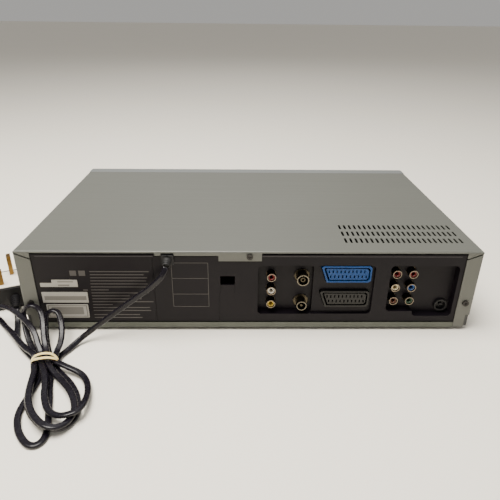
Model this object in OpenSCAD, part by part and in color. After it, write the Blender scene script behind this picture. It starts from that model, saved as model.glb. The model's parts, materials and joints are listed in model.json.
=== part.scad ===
// Disc player and tape recorder in one housing, built as it comes apart on a bench.
// Millimetres, +Z up. The origin is on the ground, under the middle of the housing.
// The front faces -Y, the socket panel faces +Y.

/* [Housing] */
// Width of the housing
body_w = 430; // [426:1:440]
// Depth from the front face to the rear face
body_d = 268; // [268:1:280]
// Height of the housing above its feet
body_h = 82; // [82:0.5:88]
// Height of the feet
foot_h = 3.5; // [2.5:0.5:6]
// Outer diameter of a foot
foot_dia = 22; // [16:1:28]
// Sheet steel of the top cover and the bottom plate
sheet_t = 0.8; // [0.6:0.1:1]
// Radius of the folds in the top cover
fold_r = 1.6; // [1.2:0.1:2.2]
// Wall of the moulded front panel
front_wall = 2.5; // [2:0.1:3]
// Depth of the front panel behind its face
front_depth = 21; // [20:0.5:22]
// Wall of the moulded rear panel
rear_wall = 2.2; // [1.8:0.1:2.6]
// Gap between neighbouring shells
shell_gap = 0.3; // [0.2:0.05:0.5]

/* [Rear panel] */
// Width of the folds of the cover that frame the rear panel
frame_fold = 14.7; // [12:0.1:17]
// Height of the bottom plate's rear lip
rear_lip = 5.6; // [4:0.1:7]
// Depth of the deep socket recesses
recess_depth = 8; // [6.5:0.25:8.5]
// Depth of the shallow recess round the scart sockets
scart_recess = 3; // [2:0.25:4]
// Vertical pitch of the phono jacks
phono_pitch = 14.4; // [13.5:0.1:15]
// Height of the lowest recorder jack above the housing's underside
phono_low = 25.4; // [24:0.2:27]
// Outer diameter of a phono jack's metal sleeve
phono_dia = 8.3; // [8:0.1:8.6]
// Width of a scart socket
scart_w = 47; // [46:0.5:48]
// Height of a scart socket
scart_h = 17; // [16:0.5:18]

/* [Vents] */
// Columns of slots in the top cover
vent_columns = 23; // [10:1:23]
// Rows of slots in the top cover
vent_rows = 3; // [1:1:3]
// Length of one slot
vent_slot = 10.6; // [8:0.2:12]
// Width of one slot
vent_slot_w = 2.2; // [1.6:0.1:2.6]
// Pitch of the columns
vent_pitch = 5.05; // [4.4:0.05:5.1]
// Pitch of the rows
vent_row_pitch = 16.3; // [14:0.1:17]

/* [Disc drive] */
// Travel of the disc tray
tray_travel = 140; // [120:1:142]
// Width of the disc tray over its runners
tray_w = 138; // [136:0.5:138]
// Diameter of the disc recess in the tray
disc_dia = 121.5; // [121:0.25:122.5]
// Teeth of the pinion that drives the tray
pinion_teeth = 12; // [12:1:12]
// Module of the pinion and the rack
gear_module = 1.25; // [1.25:0.05:1.25]
// Pitch diameter of the motor's pulley
pulley_dia = 6; // [5:0.5:8]
// Travel of the laser sled
sled_travel = 35; // [30:1:35]

/* [Tape deck] */
// Length of a tape cassette, across the slot
cassette_w = 188; // [186:0.5:189]
// Thickness of a tape cassette
cassette_h = 25; // [24:0.5:26]
// Travel of the cassette cradle
cradle_travel = 50; // [40:1:50]
// Diameter of the head drum
drum_dia = 62; // [60:0.5:62]
// Lean of the head drum
drum_lean = 5; // [3:0.5:6]

/* [Keys] */
// Travel of a front key
key_travel = 1.2; // [0.8:0.1:1.3]
// Gap round a front key
key_gap = 0.35; // [0.25:0.05:0.5]

/* [Mains lead] */
// Width of the flat mains lead
lead_dia = 5.4; // [5:0.1:6]
// Its thickness
lead_flat = 3.6; // [3:0.1:4.5]

/* [Hidden] */
$fn = 48;
eps = 0.02;
running = 0.05;

// Levels of the housing
z_base = foot_h;
z_top = foot_h + body_h;
y_front = -body_d / 2;
y_rear = body_d / 2;
half_w = body_w / 2;
y_seam = y_front + front_depth;
inner_half = half_w - sheet_t;

// Rear panel
panel_half = half_w - frame_fold;
panel_y = y_rear - sheet_t - 0.2;
panel_low = z_base + rear_lip;
panel_high = z_top - 3;
recess_y = panel_y - recess_depth;
scart_y = panel_y - scart_recess;
notch_w = 4.6;
notch_h = 14;

// Sockets: places across the panel, and heights
phono_z = z_base + phono_low;
av_x = -20;
disc_x = [-138, -153.4];
disc_phono_z = z_base + 29;
tuner_x = -49.4;
tuner_z = [z_base + 24.8, z_base + 52.6];
scart_x = -90;
scart_z = [z_base + 31.6, z_base + 58.2];
svideo_x = -187;
svideo_z = z_base + 21;
phono_hole = phono_dia + 1.6;
phono_len = 10.3;
phono_block_d = 12;
relief_x = 75.8;
relief_z = z_base + 74.4;
front_av_x = -198;
front_av_z = z_base + 19;
front_av_pitch = 13;

// Circuit boards
board_t = 1.6;
board_z = 14;
board_top = board_z + board_t;

// Disc drive
loader_x = -110;
loader_half = 76;
loader_front = y_front + 26;
loader_back = loader_front + 178;
loader_floor = 36;
loader_t = 2;
loader_wall = 2.5;
loader_top = 64;
tray_z = 52.3;
tray_t = 6;
tray_runner = 2;
tray_front = y_front + 3.5;
tray_back = tray_front + 190.5;
disc_y = tray_front + 68.5;
pitch_r = gear_module * pinion_teeth / 2;
rack_x = loader_x - 40;
pinion_x = rack_x - pitch_r;
pinion_y = loader_front + 16;
motor_y = pinion_y + 34;
wheel_dia = 26;
pulley_z = loader_floor + loader_t + 2;
pulley_h = 4;
pinion_z = pulley_z + pulley_h;
traverse_half = 32;
traverse_z = loader_floor - 1;
traverse_t = 3;
traverse_top = traverse_z + traverse_t;
traverse_front = disc_y - 16;
hinge_y = disc_y + 107;
hinge_z = traverse_z + 1.5;
hinge_r = 2;
rail_x = 25;
rail_r = 1.5;
rail_z = traverse_top + 2.2;
sled_y = disc_y + 25;

// Tape deck
deck_x = 106;
deck_z = 26;
deck_t = 1.2;
deck_top = deck_z + deck_t;
deck_front = y_front + 30;
deck_back = deck_front + 188;
cradle_floor = 46.5;
cradle_t = 1;
cradle_wall = 1.2;
cradle_front = y_front + 37;
cradle_d = 52;
cradle_half = cassette_w / 2 + cradle_wall;
side_gap = 0.4;
slot_half_h = 2.1;
pin_z = 60;
drum_y = y_front + 180;
reel_y = y_front + 84;
reel_x = 46.5;
capstan_x = 64;
capstan_y = y_front + 158;
capstan_r = 1.5;
pinch_x = 82;
pinch_y = y_front + 146;
pinch_len = 14;
pinch_parked = 74;
arm_x = 54;
arm_y = y_front + 148;
arm_len = 36.5;
arm_start = -37;

// Openings of the front panel
slot_half = cassette_w / 2 + 5;
slot_low = 44;
slot_high = 77;
door_gap = 0.5;
door_t = 2.6;
tray_door_w = 142;
tray_door_low = 47.5;
tray_door_high = 65.5;
tray_door_t = 3;
window_x = -76;
window_w = 104;
window_low = 22;
window_high = 42;
front_board_y = y_front + 13;
key_back = 9.6;
switch_y = y_front + key_back + key_travel + 0.3;
key_proud = 1.2;

// ---------- Shapes used by many parts ----------

// A box from its lowest to its highest corner
module block(low, high) {
  translate(low) cube(high - low);
}

// A rectangle with round corners, from its lower left to its upper right corner
module round_rect(low, high, r) {
  translate([low[0] + r, low[1]]) square([high[0] - low[0] - 2 * r, high[1] - low[1]]);
  translate([low[0], low[1] + r]) square([high[0] - low[0], high[1] - low[1] - 2 * r]);
  for (x = [low[0] + r, high[0] - r], y = [low[1] + r, high[1] - r])
    translate([x, y]) circle(r);
}

// A flat shape, drawn in X and Z, made solid from y0 to y1
module along_y(y0, y1) {
  translate([0, y1, 0]) rotate([90, 0, 0]) linear_extrude(y1 - y0) children();
}

// A flat shape, drawn in Y and Z, made solid from x0 to x1
module along_x(x0, x1) {
  translate([x0, 0, 0]) rotate([90, 0, 90]) linear_extrude(x1 - x0) children();
}

// A flat shape, drawn in X and Y, made solid from z0 to z1
module along_z(z0, z1) {
  translate([0, 0, z0]) linear_extrude(z1 - z0) children();
}

// A round bar along Y
module bar_y(x, z, y0, y1, r) {
  translate([x, y0, z]) rotate([-90, 0, 0]) cylinder(r = r, h = y1 - y0);
}

// A round bar along X
module bar_x(y, z, x0, x1, r) {
  translate([x0, y, z]) rotate([0, 90, 0]) cylinder(r = r, h = x1 - x0);
}

// A round bar along Z
module bar_z(x, y, z0, z1, r) {
  translate([x, y, z0]) cylinder(r = r, h = z1 - z0);
}

// A pan head screw pointing along -Z, its seat at the origin, with a cross recess
module pan_screw(head_r, head_h, shank_r, shank_l) {
  difference() {
    union() {
      cylinder(r = head_r, h = head_h);
      translate([0, 0, -shank_l]) cylinder(r = shank_r, h = shank_l + eps);
    }
    for (turn = [0, 90])
      rotate(turn) translate([-head_r * 0.6, -0.35, head_h * 0.4])
        cube([head_r * 1.2, 0.7, head_h]);
  }
}

// ---------- Housing ----------

screw_head_r = 3;
screw_head_h = 1.6;
screw_hole_r = 1.7;
side_screw_z = z_base + 27.5;
side_screw_x = half_w - frame_fold / 2;
top_screw_x = 0.6;
top_screw_z = z_top - 5;
flange_right = -10.5;
flange_step = 29.3;
flange_left = 87.5;
flange_deep = 9.8;
flange_shallow = 4.4;
mitre_gap = 0.9;

// The cover's section: a flat top and two sides, with round folds
module cover_section(grow) {
  difference() {
    round_rect([-half_w + grow, z_base - 10], [half_w - grow, z_top - grow], fold_r - grow);
    translate([-half_w - 1, z_base - 12]) square([body_w + 2, 12]);
  }
}

// The strip along the top's rear edge that is folded down behind the panel
module rear_top_fold() {
  translate([-half_w + 0.6, z_top - sheet_t - 1]) square([body_w - 1.2, 1.2]);
  for (side = [-1, 1]) polygon([
    [side * (half_w - mitre_gap), z_top - sheet_t], [side * panel_half, z_top - sheet_t],
    [side * panel_half, z_top - 7.4], [side * (half_w - mitre_gap), z_top - 1.6]
  ]);
  translate([flange_right, z_top - flange_deep])
    square([flange_step - flange_right, flange_deep - sheet_t]);
  translate([flange_step - eps, z_top - flange_shallow])
    square([flange_left - flange_step, flange_shallow - sheet_t]);
}

// One side's rear fold, with its mitre at the top and its notch at the bottom corner
module rear_side_fold(side) {
  polygon([
    [side * half_w, z_top - 2.6], [side * panel_half, z_top - 8.7],
    [side * panel_half, z_base + 0.2], [side * (half_w - notch_w), z_base + 0.2],
    [side * (half_w - notch_w), z_base + notch_h], [side * half_w, z_base + notch_h]
  ]);
}

// What is cut off a square edge at the origin to leave a round bend
module bend_cut() {
  difference() {
    translate([-fold_r, -fold_r]) square([fold_r + 1, fold_r + 1]);
    translate([-fold_r, -fold_r]) circle(fold_r);
  }
}

module top_cover() {
  vent_x0 = -91.5;
  vent_y0 = y_rear - 25;
  color("#a3a199") difference() {
    union() {
      difference() {
        along_y(y_seam + shell_gap, y_rear - sheet_t + eps) difference() {
          cover_section(0);
          cover_section(sheet_t);
          translate([-half_w + sheet_t, z_base - 1])
            square([body_w - 2 * sheet_t, fold_r + 3]);
        }
        for (side = [-1, 1])
          block([side * half_w - 2, y_rear - 3, z_base - 1],
            [side * half_w + 2, y_rear + 1, z_base + notch_h]);
      }
      along_y(y_rear - sheet_t, y_rear) intersection() {
        cover_section(0);
        union() {
          translate([-half_w, z_top - sheet_t]) square([body_w, sheet_t]);
          rear_top_fold();
          rear_side_fold(-1);
          rear_side_fold(1);
        }
      }
    }
    // round bends along the rear edges
    along_x(-half_w - 1, half_w + 1) translate([y_rear, z_top]) bend_cut();
    along_z(z_base - 1, z_top - 2) for (side = [0, 1])
      mirror([side, 0]) translate([half_w, y_rear]) bend_cut();
    // the lead's notch and the screw holes of the rear folds
    block([relief_x - 6, y_rear - 2, z_top - flange_shallow - 1],
      [relief_x + 6, y_rear + 1, z_top - 1.8]);
    bar_y(top_screw_x, top_screw_z, y_rear - 2, y_rear + 1, screw_hole_r);
    for (side = [-1, 1])
      bar_y(side * side_screw_x, side_screw_z, y_rear - 2, y_rear + 1, screw_hole_r);
    for (column = [0 : vent_columns - 1], row = [0 : vent_rows - 1])
      translate([vent_x0 - column * vent_pitch, vent_y0 - row * vent_row_pitch, 0])
        along_z(z_top - 2, z_top + 1)
          round_rect([-vent_slot_w / 2, -vent_slot / 2], [vent_slot_w / 2, vent_slot / 2],
            vent_slot_w / 2 - 0.1);
    for (y = [y_seam + 12, y_rear - 40], side = [-1, 1])
      bar_x(y, z_base + 16, side * half_w - 3, side * half_w + 3, screw_hole_r);
  }
}

plate_z = z_base + sheet_t;

module bottom_plate() {
  color("#8f938d") difference() {
    union() {
      block([-half_w + 1.4, y_seam + 1, z_base], [half_w - 1.4, y_rear - 3, plate_z]);
      block([-panel_half + 0.4, y_rear - 3 - eps, z_base], [panel_half - 0.4, y_rear, plate_z]);
      block([-panel_half + 0.4, y_rear - sheet_t, z_base],
        [panel_half - 0.4, y_rear, z_base + rear_lip]);
    }
    for (x = [-170 : 12 : -62], y = [-40, -10])
      along_z(z_base - 1, plate_z + 1) round_rect([x, y], [x + 3, y + 22], 1.4);
    for (x = [50 : 12 : 170], y = [92])
      along_z(z_base - 1, plate_z + 1) round_rect([x, y], [x + 3, y + 26], 1.4);
    for (x = foot_x, y = foot_y)
      bar_z(x, y, z_base - 1, plate_z + 1, 2.1);
  }
}

foot_x = [-half_w + 33, half_w - 33];
foot_y = [y_front + 34, y_rear - 30];

module feet() {
  color("#1d1d1f") for (x = foot_x, y = foot_y) translate([x, y, 0]) {
    rotate_extrude() polygon([
      [3, 0], [foot_dia / 2 - 1.4, 0], [foot_dia / 2 - 0.6, 0.8], [foot_dia / 2, foot_h - eps],
      [3, foot_h - eps]
    ]);
    translate([0, 0, 1.2]) cylinder(r = 3 + eps, h = foot_h - 1.2 - eps);
    translate([0, 0, 1.3]) cylinder(r = 1.9, h = foot_h + sheet_t - 1.3);
  }
}

frame_t = 2;
frame_low = plate_z + shell_gap;
frame_floor = frame_low + frame_t;
frame_half = inner_half - shell_gap;
frame_high = z_base + 40;
frame_front = y_seam + shell_gap;
frame_back = y_rear - sheet_t - 0.1;
deck_post_x = [deck_x - 90, deck_x + 90];
deck_post_y = [deck_front + 8, deck_back - 8];
loader_post_x = [loader_x - loader_half + 6, loader_x + loader_half - 6];
loader_post_y = [loader_front + 8, loader_back - 8];

// A hollow post that carries a board or a mechanism at the height z
module post(x, y, z, r) {
  difference() {
    bar_z(x, y, frame_low + eps, z, r);
    bar_z(x, y, z - 8, z + 1, 1.3);
  }
}

module main_frame() {
  color("#232325") {
    difference() {
      union() {
        block([-frame_half, frame_front, frame_low], [frame_half, panel_y - rear_wall - 0.3,
          frame_floor]);
        for (side = [-1, 1]) {
          along_x(side > 0 ? frame_half - frame_t : -frame_half,
            side > 0 ? frame_half : -frame_half + frame_t)
            polygon([
              [frame_front, frame_low], [frame_back, frame_low],
              [frame_back, z_base + notch_h + 6], [frame_back - 14, frame_high],
              [frame_front + 10, frame_high], [frame_front, frame_high - 10]
            ]);
          // the rear corner that shows through the cover's notch
          block([side > 0 ? half_w - frame_fold + 3 : -frame_half, frame_back - 2, frame_low],
            [side > 0 ? frame_half : -half_w + frame_fold - 3, frame_back, z_base + 24]);
          for (y = [frame_front + 20 : 36 : frame_back - 20])
            block([side > 0 ? frame_half - 7 : -frame_half, y, frame_floor - eps],
              [side > 0 ? frame_half : -frame_half + 7, y + 1.6, frame_high - 12]);
        }
        block([-frame_half, frame_front, frame_low], [frame_half, frame_front + frame_t, 12]);
        // ribs across the floor
        for (x = [-2, 2]) block([x - 0.8, frame_front, frame_floor - eps],
          [x + 0.8, 86, board_z - 1]);
      }
      // windows in the floor, under the deck and under the boards
      along_z(frame_low - 1, frame_floor + 1) {
        for (x = [26, 68, 110, 152], y = [-84, -8])
          round_rect([x, y], [x + 32, y + 64], 8);
        for (x = [-190, -148, -94, -52], y = [-84, -12])
          round_rect([x, y], [x + 32, y + 60], 8);
        for (x = [54, 94, 134]) round_rect([x, 92], [x + 32, 116], 6);
      }
      for (side = [-1, 1], y = [y_seam + 12, y_rear - 40])
        bar_x(y, z_base + 16, side * frame_half - 4, side * frame_half + 4, 1.3);
      for (side = [-1, 1])
        bar_y(side * side_screw_x, side_screw_z, frame_back - 8, frame_back + 1, 1.3);
    }
    for (x = deck_post_x, y = deck_post_y) post(x, y, deck_z, 4.5);
    for (x = loader_post_x, y = loader_post_y) post(x, y, loader_floor, 4.5);
    for (p = board_posts) post(p[0], p[1], board_z, 3.2);
  }
}

board_posts = [
  [-200, -96], [-104, 66], [-14, -96], [-14, 112], [-112, 112],
  [-200, 80], [-130, 80], [-200, 114], [44, 92], [200, 92], [44, 122], [200, 122]
];

// The front panel's outline from above: a flat face with round shoulders
module front_plan(grow) {
  shoulder = 9;
  front = y_front + grow;
  half = half_w - 0.2 - grow;
  polygon(concat(
    [[half, y_seam], [-half, y_seam]],
    [for (a = [0 : 15 : 90]) [-half + 3 - 3 * cos(a), front + shoulder - shoulder * sin(a)]],
    [for (a = [90 : -15 : 0]) [half - 3 + 3 * cos(a), front + shoulder - shoulder * sin(a)]]
  ));
}

// The front panel's outline from the side
module front_profile(grow) {
  front = y_front + grow - 0.5 * grow / front_wall;
  low = z_base + grow;
  high = z_top - grow;
  polygon(concat(
    [[y_seam + 1, low], [y_seam + 1, high]],
    [for (a = [0 : 15 : 90]) [front + 7 - 7 * sin(a), high - 4 + 4 * cos(a)]],
    [for (a = [90 : -15 : 0]) [front + 3 - 3 * sin(a), low + 3 - 3 * cos(a)]]
  ));
}

module front_shell(grow) {
  intersection() {
    along_z(z_base, z_top) front_plan(grow);
    along_x(-half_w, half_w) front_profile(grow);
  }
}

// Front keys: place across, height, width, height of the cap, corner radius
power_key_at = [-197, 62];
tray_key_at = [-22, 57.5];
eject_key_at = [16, 33];
transport_keys = [[50, 26], [80, 26], [112, 26], [144, 26], [176, 26]];
small_cap = [18, 7];
play_cap = [26, 10];

// The outline of a key, wider all round by grow
module key_outline(at, cap, grow) {
  round_rect([at[0] - cap[0] / 2 - grow, at[1] - cap[1] / 2 - grow],
    [at[0] + cap[0] / 2 + grow, at[1] + cap[1] / 2 + grow], cap[1] / 2 - 0.6 + grow);
}

module front_panel() {
  color("#b9bbbb") difference() {
    union() {
      difference() {
        front_shell(0);
        translate([0, eps, 0]) front_shell(front_wall);
      }
      // bosses that carry the front board
      for (p = front_bosses)
        bar_y(p[0], p[1], y_front + front_wall - eps, front_board_y, 3);
      // a rib that the cassette door's pins turn in, at each end of the slot
      for (side = [-1, 1])
        block([deck_x + side * (slot_half + 3) - 1.5, y_front + front_wall - eps, 70],
          [deck_x + side * (slot_half + 3) + 1.5, y_front + 9, z_top - front_wall + eps]);
    }
    // cassette slot
    along_y(y_front - 1, y_front + front_wall + 4)
      round_rect([deck_x - slot_half, slot_low], [deck_x + slot_half, slot_high], 1);
    // disc tray
    along_y(y_front - 1, y_front + front_wall + 4)
      round_rect([loader_x - tray_door_w / 2 - door_gap, tray_door_low - door_gap],
        [loader_x + tray_door_w / 2 + door_gap, tray_door_high + door_gap], 1.2);
    // display window
    along_y(y_front - 1, y_front + front_wall + 4)
      round_rect([window_x - window_w / 2, window_low], [window_x + window_w / 2, window_high], 3);
    // keys
    along_y(y_front - 1, y_front + front_wall + 4) {
      translate(power_key_at) circle(8 + key_gap);
      key_outline(tray_key_at, small_cap, key_gap);
      key_outline(eject_key_at, small_cap, key_gap);
      for (i = [0 : 4])
        key_outline(transport_keys[i], i == 1 ? play_cap : small_cap, key_gap);
    }
    // front jacks
    for (i = [0 : 2])
      bar_y(front_av_x + i * front_av_pitch, front_av_z, y_front - 1, y_front + front_wall + 4,
        phono_dia / 2 + 0.6);
    bar_x(door_hinge_y, door_hinge_z, deck_x - slot_half - 8, deck_x + slot_half + 8,
      door_pin_r + running);
  }
}

front_bosses = [[-150, 16], [-8, 16], [34, 39], [196, 39]];
door_hinge_y = y_front + 5.2;
door_hinge_z = slot_high - 2.4;
door_pin_r = 1.5;

module display_window() {
  color("#16181c") union() {
    along_y(y_front + 0.3, y_front + front_wall + 0.1 + eps)
      round_rect([window_x - window_w / 2 + 0.2, window_low + 0.2],
        [window_x + window_w / 2 - 0.2, window_high - 0.2], 2.8);
    block([window_x - window_w / 2 - 3, y_front + front_wall + 0.1, window_low - 1.5],
      [window_x + window_w / 2 + 3, y_front + front_wall + 1.2, window_high + 1.5]);
  }
}

module cover_screws() {
  color("#3a3a3a") {
    for (side = [-1, 1])
      translate([side * side_screw_x, y_rear, side_screw_z]) rotate([-90, 0, 0])
        pan_screw(screw_head_r, screw_head_h, 1.25, 7.5);
    translate([top_screw_x, y_rear, top_screw_z]) rotate([-90, 0, 0])
      pan_screw(screw_head_r, screw_head_h, 1.25, 5);
    for (side = [-1, 1], y = [y_seam + 12, y_rear - 40])
      translate([side * half_w, y, z_base + 16]) rotate([0, side * 90, 0])
        pan_screw(screw_head_r, screw_head_h, 1.25, 3);
  }
}

// ---------- Rear panel and its sockets ----------

deep_left = -7.2;
deep_right = -59.6;
recess_right = -117;
recess_low = z_base + 14.6;
recess_high = z_base + 67.2;
disc_left = -131.4;
disc_step = -157.6;
disc_right = -196;
disc_low = z_base + 17.6;
disc_lower = z_base + 12.2;
disc_high = z_base + 67;
tub_wall = 2;
lock_x = 21.2;
lock_z = z_base + 51.4;

// The recess of the recorder's jacks, wider all round by grow
module recorder_recess(grow) {
  round_rect([deep_right - grow, recess_low - grow], [deep_left + grow, recess_high + grow],
    4 + grow);
}

// The recess of the disc player's jacks: a lower right part and a round right side
module disc_recess(grow) {
  round_rect([disc_step - 6, disc_low - grow], [disc_left + grow, disc_high + grow], 4 + grow);
  round_rect([disc_right - grow, disc_lower - grow], [disc_step + grow, disc_high + grow],
    4 + grow);
}

module rear_panel() {
  back = panel_y - rear_wall;
  color("#2a2829") difference() {
    union() {
      // the plate, stepped back by a ledge under the cover's rear edge
      block([-panel_half - 3, back, panel_low - 3.5], [panel_half + 3, panel_y - 1.2, panel_high]);
      block([-panel_half + 0.3, back, panel_low + 0.4], [panel_half - 0.3, panel_y,
        panel_high - 2.6]);
      block([-panel_half + 0.3, back, panel_high - 2.6 - eps], [flange_right - 0.6, panel_y + 0.4,
        panel_high - 0.6]);
      block([flange_left + 0.6, back, panel_high - 2.6 - eps], [panel_half - 0.3, panel_y + 0.4,
        panel_high - 0.6]);
      along_y(recess_y - tub_wall, back + eps) {
        recorder_recess(tub_wall);
        disc_recess(tub_wall);
      }
      along_y(scart_y - tub_wall, back + eps)
        round_rect([recess_right - tub_wall, recess_low - tub_wall],
          [deep_right + tub_wall, recess_high + tub_wall], 5);
    }
    along_y(recess_y, panel_y + 1) {
      recorder_recess(0);
      disc_recess(0);
    }
    along_y(scart_y, panel_y + 1)
      round_rect([recess_right, recess_low], [deep_right + 3, recess_high], 4);
    // jacks
    for (i = [0 : 2]) {
      bar_y(av_x, phono_z + i * phono_pitch, recess_y - 4, panel_y, phono_hole / 2);
      for (x = disc_x)
        bar_y(x, disc_phono_z + i * phono_pitch, recess_y - 4, panel_y, phono_hole / 2);
    }
    for (z = tuner_z) bar_y(tuner_x, z, recess_y - 4, panel_y, 7.6);
    bar_y(svideo_x, svideo_z, recess_y - 4, panel_y, 6.6);
    for (z = scart_z)
      translate([scart_x, 0, z]) along_y(scart_y - 4, panel_y) scart_outline(-0.6);
    // the lead's notch and the locking window
    block([relief_x - 5.4, back - 1, relief_z - 5], [relief_x + 5.4, panel_y + 1, panel_high + 1]);
    block([lock_x - 6.8, back - 1, lock_z - 4.7], [lock_x + 6.8, panel_y + 1, lock_z + 4.7]);
    bar_y(top_screw_x, top_screw_z, back - 1, panel_y + 1, 1.3);
    // grooves between the printed field, the moulded field and the socket field
    block([89.4, panel_y - 0.6, panel_low + 2], [90.2, panel_y + 1, panel_high - 3]);
    block([28.6, panel_y - 0.5, panel_low + 2], [29.8, panel_y + 1, lock_z - 13]);
    block([lock_x - 6.9, panel_y - 0.5, lock_z - 13], [lock_x - 6.3, panel_y + 1, lock_z - 5]);
    block([lock_x + 6.3, panel_y - 0.5, lock_z - 13], [lock_x + 6.9, panel_y + 1, lock_z - 5]);
  }
}

// Every phono jack on the rear: place across, and height
rear_phonos = concat(
  [for (i = [0 : 2]) [av_x, phono_z + i * phono_pitch]],
  [for (x = disc_x, i = [0 : 2]) [x, disc_phono_z + i * phono_pitch]]
);
phono_seat = recess_y - tub_wall - 0.3;
front_phono_seat = y_front + front_wall + 7;

// The housings of the phono jacks, standing on their boards
module phono_blocks() {
  leg = phono_block_d;
  color("#1c1c1e") {
    difference() {
      union() {
        block([av_x - 6, phono_seat - leg, board_top],
          [av_x + 6, phono_seat, phono_z + 2 * phono_pitch + 6]);
        block([disc_x[1] - 6, phono_seat - leg, board_top],
          [disc_x[0] + 6, phono_seat, disc_phono_z + 2 * phono_pitch + 6]);
      }
      for (p = rear_phonos) bar_y(p[0], p[1], phono_seat - 8, phono_seat + 1, 3.3);
    }
    difference() {
      block([front_av_x - 6, front_phono_seat, front_av_z - 6],
        [front_av_x + 2 * front_av_pitch + 6, front_board_y, front_av_z + 6]);
      for (i = [0 : 2])
        bar_y(front_av_x + i * front_av_pitch, front_av_z, front_phono_seat - 1,
          front_phono_seat + 2.6, 3.3);
    }
  }
}

// One metal sleeve, from its seat outwards along +Y
module phono_sleeve() {
  rotate([-90, 0, 0]) difference() {
    union() {
      cylinder(r = phono_dia / 2, h = phono_len);
      cylinder(r = phono_dia / 2 + 0.5, h = 1);
    }
    translate([0, 0, -1]) cylinder(r = phono_dia / 2 - 0.55, h = phono_len + 2);
  }
}

// The coloured insulator inside a sleeve, with the hole for the plug's pin
module phono_insert(back) {
  rotate([-90, 0, 0]) difference() {
    union() {
      cylinder(r = phono_dia / 2 - 0.57, h = phono_len - 0.8);
      translate([0, 0, -back]) cylinder(r = 3.25, h = back + eps);
    }
    translate([0, 0, -2]) cylinder(r = 1.65, h = phono_len + 3);
  }
}

module phono_sleeves() {
  color("#c9c5bb") {
    for (p = rear_phonos) translate([p[0], phono_seat, p[1]]) phono_sleeve();
    for (i = [0 : 2])
      translate([front_av_x + i * front_av_pitch, front_phono_seat, front_av_z])
        mirror([0, 1, 0]) phono_sleeve();
  }
}

insert_colours = ["#c8b02a", "#e4ded2", "#8e1f1c", "#b5521c", "#e4ded2", "#8e1f1c", "#2f7a3c", "#2c5ea8",
  "#8e1f1c"];

module phono_inserts() {
  for (i = [0 : 8])
    color(insert_colours[i])
      translate([rear_phonos[i][0], phono_seat, rear_phonos[i][1]]) phono_insert(6);
  for (i = [0 : 2])
    color(insert_colours[i])
      translate([front_av_x + i * front_av_pitch, front_phono_seat, front_av_z])
        mirror([0, 1, 0]) phono_insert(2.4);
}

// A scart socket's outline: one end is slanted
module scart_outline(shrink) {
  w = scart_w / 2 - shrink;
  h = scart_h / 2 - shrink;
  polygon([
    [-w, -h + 2], [-w + 2, -h], [w - 5.4, -h], [w - 0.6 * shrink, h - 1.5], [w - 1.5, h],
    [-w + 2, h], [-w, h - 2]
  ]);
}

scart_front = panel_y + 0.6;

// A scart socket's shroud, and the insert with its two rows of contacts
module scart_shell(z) {
  translate([scart_x, 0, z]) difference() {
    union() {
      difference() {
        along_y(scart_front - 26, scart_front) scart_outline(0);
        along_y(scart_front - 12, scart_front + 1) scart_outline(1.4);
      }
      along_y(scart_front - 12 - eps, scart_front - 0.6) scart_outline(2.7);
    }
    for (row = [0, 1], i = [0 : 9])
      translate([-18.7 + i * 3.7 + row * 1.85, 0, row == 0 ? -2.6 : 2.6])
        block([-0.6, scart_front - 10, -1.5], [0.6, scart_front + 1, 1.5]);
  }
}

// The upper socket stands on the lower one with two feet
module scart_socket_blue() {
  color("#2166b4") {
    scart_shell(scart_z[1]);
    for (side = [-1, 1]) translate([scart_x + side * (scart_w / 2 - 7), 0, 0])
      block([-1.5, scart_front - 25.5, scart_z[0] + scart_h / 2 + 0.2],
        [1.5, scart_front - 20, scart_z[1] - scart_h / 2 + 1]);
  }
}

module scart_socket_black() {
  color("#19191b") {
    scart_shell(scart_z[0]);
    block([scart_x - scart_w / 2 + 1, scart_front - 24, board_top],
      [scart_x + scart_w / 2 - 1, scart_front - 16, scart_z[0] - scart_h / 2 + 1]);
  }
}

tuner_face = recess_y - tub_wall - 0.3;
aerial_len = recess_depth + tub_wall + 2.6;

// The screened tuner box with its two aerial sockets
module tuner_module() {
  color("#a9a69c") {
    block([tuner_x - 15, tuner_face - 48, board_top], [tuner_x + 15, tuner_face, z_base + 66]);
    // the lower socket has a pin, the upper one a split tube
    translate([tuner_x, tuner_face - eps, 0]) rotate([-90, 0, 0]) {
      translate([0, -tuner_z[0], 0]) {
        difference() {
          union() {
            cylinder(r = 7, h = 2.2);
            cylinder(r = 4.8, h = aerial_len);
          }
          translate([0, 0, 1]) cylinder(r = 4.1, h = aerial_len);
        }
        cylinder(r = 1.2, h = aerial_len - 1.5);
      }
      translate([0, -tuner_z[1], 0]) {
        difference() {
          union() {
            cylinder(r = 7, h = 2.2);
            cylinder(r = 5.7, h = aerial_len);
          }
          translate([0, 0, 1]) cylinder(r = 4.8, h = aerial_len);
        }
        difference() {
          cylinder(r = 2.3, h = aerial_len - 1.5);
          translate([0, 0, 3]) cylinder(r = 1.3, h = aerial_len);
        }
      }
    }
  }
}

module svideo_socket() {
  seat = recess_y - tub_wall - 0.3;
  color("#17171a") union() {
    block([svideo_x - 7, seat - 11, board_top], [svideo_x + 7, seat, svideo_z + 7]);
    translate([svideo_x, seat - eps, svideo_z]) rotate([-90, 0, 0]) difference() {
      cylinder(r = 6.2, h = 5);
      translate([0, 0, 1.5]) difference() {
        cylinder(r = 4.9, h = 5);
        translate([-1.4, -2, 0]) cube([2.8, 1.4, 5]);
      }
      for (side = [-1, 1], y = [0.4, 2.6])
        translate([side * (y > 1 ? 1.4 : 3), y, -2]) cylinder(r = 0.5, h = 6);
    }
  }
}

// ---------- Circuit boards ----------

// A chip lying on a board, with a round corner mark
module chip(x, y, w, d, h) {
  difference() {
    block([x - w / 2, y - d / 2, board_top - eps], [x + w / 2, y + d / 2, board_top + h]);
    translate([x - w / 2 + 2, y - d / 2 + 2, board_top + h - 0.3]) cylinder(r = 0.8, h = 1);
  }
}

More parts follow.
